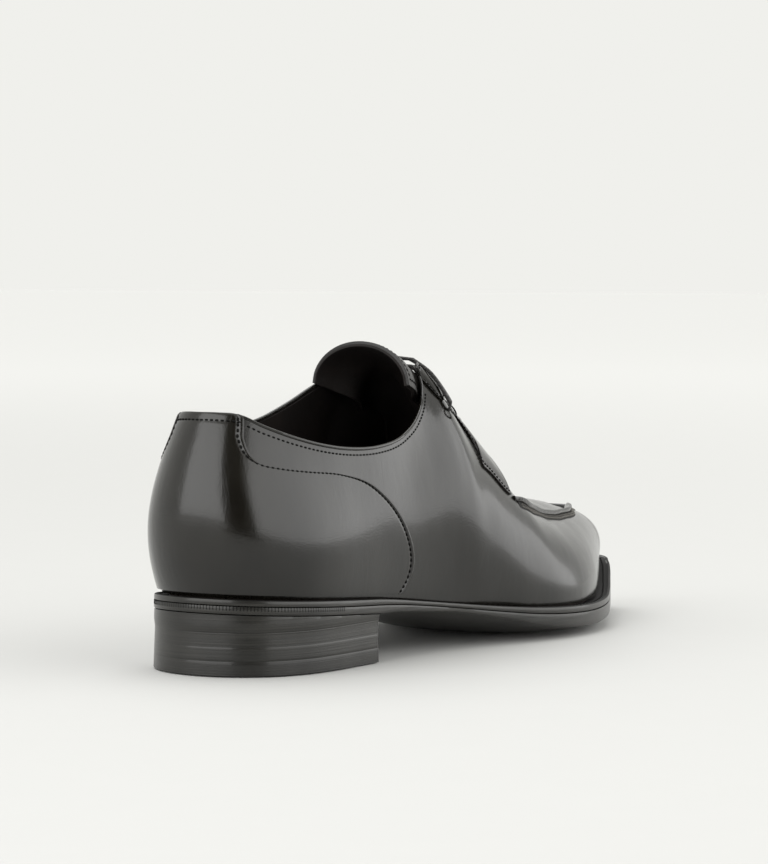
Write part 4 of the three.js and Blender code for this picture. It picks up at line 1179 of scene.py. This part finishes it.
# ---------- heel ----------
def heel_plan(z, out=0.0):
    """The heel's outline at a height: round the back, cut off by the pitched, slightly hollow breast."""
    flare = SIZE["heel_flare"] * (1 - z / SIZE["heel_height"])
    at = np.linspace(-0.3, 0.3, 181)
    plan = inset(np.mod(at, 2), 0.6 - flare - out)
    breast = HEEL_LENGTH - SIZE["heel_pitch"] * (1 - z / SIZE["heel_height"]) + out
    keep = plan[plan[:, 0] < breast - 0.05]
    left, right = keep[0].copy(), keep[-1].copy()
    left[0] = right[0] = breast
    across = np.linspace(0, 1, 33)
    front = right + (left - right) * across[:, None]
    front[:, 0] -= 1.1 * np.sin(math.pi * across)
    side_points = np.concatenate([keep, front[:1], front[1:-1], front[-1:]])
    gaps = np.linalg.norm(np.diff(np.concatenate([side_points, side_points[:1]]), axis=0), axis=-1)
    run = np.concatenate([[0], np.cumsum(gaps)])
    where = np.linspace(0, run[-1], 361)[:-1]
    closed = np.concatenate([side_points, side_points[:1]])
    return np.stack([np.interp(where, run, closed[:, k]) for k in range(2)], -1)


def heel_block(name, levels, paint, node, top=None):
    """Rings of the heel at (height, stand-out); the last may follow the sole."""
    rings = []
    for z, out in levels:
        plan = heel_plan(z, out)
        height = np.full(len(plan), z)
        rings.append(np.concatenate([plan, height[:, None]], 1))
    if top is not None:
        for ring in rings:
            limit = top(ring[:, 0])
            ring[:, 2] = np.minimum(ring[:, 2], limit)
        plan = rings[-1][:, :2]
        rings.append(np.concatenate([plan, top(plan[:, 0])[:, None]], 1))
    rings = np.stack(rings, 0)
    count, sides = rings.shape[:2]
    faces = grid_faces(count, sides, wrap=True)
    faces += [tuple(range(sides))[::-1], tuple(range((count - 1) * sides, count * sides))]
    return finish_piece(name, rings.reshape(-1, 3), faces, None, paint, node, angle=38)


lift = (0.78 * SIZE["heel_height"] - SIZE["top_piece"] - 2) / 2
lift_lines = [SIZE["top_piece"] + lift, SIZE["top_piece"] + 2 * lift]
levels = [(SIZE["top_piece"] + 0.02, -0.05), (SIZE["top_piece"] + 0.15, 0.0)]
levels += [(z, 0.0) for z in np.arange(SIZE["top_piece"] + 1.0, 22.0, 0.8)]
for line_z in lift_lines:
    levels += [(line_z - 0.1, 0.0), (line_z, -0.04), (line_z + 0.1, 0.0)]
levels = [(z, out + 0.45 * float(ease(z, 14.5, 18.5))) for z, out in sorted(levels)]
heel_block("heel_stack", levels, EDGE, ["heel_lift_1", "heel_lift_2", "heel_seat_lift"],
           top=lambda x: sole_middle(x) - SIZE["clearance"])
heel_block("top_piece_rubber", [(0.0, -0.7), (0.12, -0.3), (0.4, 0.0), (2.0, 0.0), (4.0, 0.0), (5.2, 0.0),
                                (SIZE["top_piece"] - 0.02, -0.05)], TOP_PIECE, "top_piece")
second_finish("top_piece_rubber", TREAD, -1.1, -0.9)
second_finish("welt_strip", EDGE, -0.6, 0.72)

# ---------- wheel marks round the heel seat ----------
around = np.mod(np.linspace(-0.235, 0.2, 400), 2)
edge_out = np.concatenate([outline_normal(around), np.zeros((400, 1))], 1)
for name, inward, share, length in (("wheel_marks_top", 0.05, 0.86, 1.7),
                                    ("wheel_marks_low", 0.02, 0.62, 1.2)):
    plan = inset(around, inward)
    line = np.concatenate([plan, edge_mix(share)(plan[:, 0])[:, None]], 1)
    stitches(name, [(line, edge_out)], THREAD, step=1.25, length=length,
             radius=0.2, slant=math.pi / 2,
             sink=0.12)

# ---------- sock and insole ----------
insole = nodes["insole"]
insole.data.materials.clear()
insole.data.materials.append(SOCK)

# ---------- floor, backdrop and light ----------
def pale(name, near, far):
    """Plain paper, with painted shade where the lamps stand close, to even out the light they add."""
    p = Paint(name, Specular_IOR_Level=0.05)
    grain = p.noise(40.0, 5.0, 0.6)
    x, y = p.axis(0), p.axis(1)
    # Painted shade: darker within half a metre of the middle, lightening out to 3.6 m.
    away = (x * x + y * y).power(0.5).ramp(0.5, 3.6)
    color = p.mix(away, near, far)
    return p.set(Base_Color=p.mix(grain, color, p.mix(0.985, (0, 0, 0), color)),
                 Roughness=(0.9 + grain * 0.05))


def dark(name, color):
    p = Paint(name, Specular_IOR_Level=0.0)
    cloud = p.noise(4.0, 3.0, 0.5)
    return p.set(Base_Color=p.mix(cloud, color, tuple(c * 0.8 for c in color)), Roughness=(0.9 + cloud * 0.1))


def card(name, place, turn, width, height, paint):
    """A flat sheet that only shows in reflections or carries the shoe."""
    bpy.ops.object.select_all(action="DESELECT")
    bpy.ops.mesh.primitive_plane_add(size=1.0, location=place, rotation=turn)
    sheet = bpy.context.object
    sheet.name = name
    sheet.scale = (width, height, 1)
    bpy.ops.object.transform_apply(location=True, rotation=True, scale=True)
    sheet.data.materials.append(paint)


def toward(azimuth, distance, height=0.0):
    return (distance * math.cos(math.radians(azimuth)), distance * math.sin(math.radians(azimuth)), height)


card("floor", (0, 0, -0.0002), (0, 0, 0), 30.0, 30.0,
     pale("floor_paper", (0.520, 0.520, 0.510), (0.635, 0.635, 0.625)))
black = dark("black_card", (0.004, 0.004, 0.004))
card("reflected_card", toward(217.0, 1.5, 1.2), (math.pi / 2, 0, math.radians(217.0 + 90)), 1.1, 2.4, black)
card("reflected_strip", toward(219.0, 0.97, 0.0006), (0, 0, math.radians(219.0)), 1.06, 0.5, black)

world = bpy.data.worlds.new("studio")
bpy.context.scene.world = world
world.use_nodes = True
world.node_tree.nodes["Background"].inputs["Color"].default_value = (0.871, 0.871, 0.838, 1)
world.node_tree.nodes["Background"].inputs["Strength"].default_value = 1.0
bpy.context.scene.view_settings.view_transform = "Standard"


def softbox(name, place, aim, width, height, glow):
    """A soft lamp of an even brightness."""
    data = bpy.data.lights.new(name, "AREA")
    data.shape = "RECTANGLE"
    data.size, data.size_y = width, height
    data.energy = glow * math.pi * width * height
    lamp = bpy.data.objects.new(name, data)
    bpy.context.collection.objects.link(lamp)
    lamp.location = place
    lamp.rotation_euler = (Vector(aim) - Vector(place)).to_track_quat("-Z", "Y").to_euler()


softbox("left", toward(167.0, 1.6, 0.9), toward(167.0, 0.0, 0.9), 1.8, 1.7, 2.3)
softbox("right", toward(292.0, 1.8, 0.86), toward(292.0, 0.0, 0.86), 4.3, 1.7, 1.8)
sky = bpy.data.lights.new("overhead", "SUN")
sky.energy = 1.8
sky.angle = math.radians(60)
lamp = bpy.data.objects.new("overhead", sky)
bpy.context.collection.objects.link(lamp)
lamp.rotation_euler = (-Vector(toward(60.0, 0.42, 0.9))).to_track_quat("-Z", "Y").to_euler()
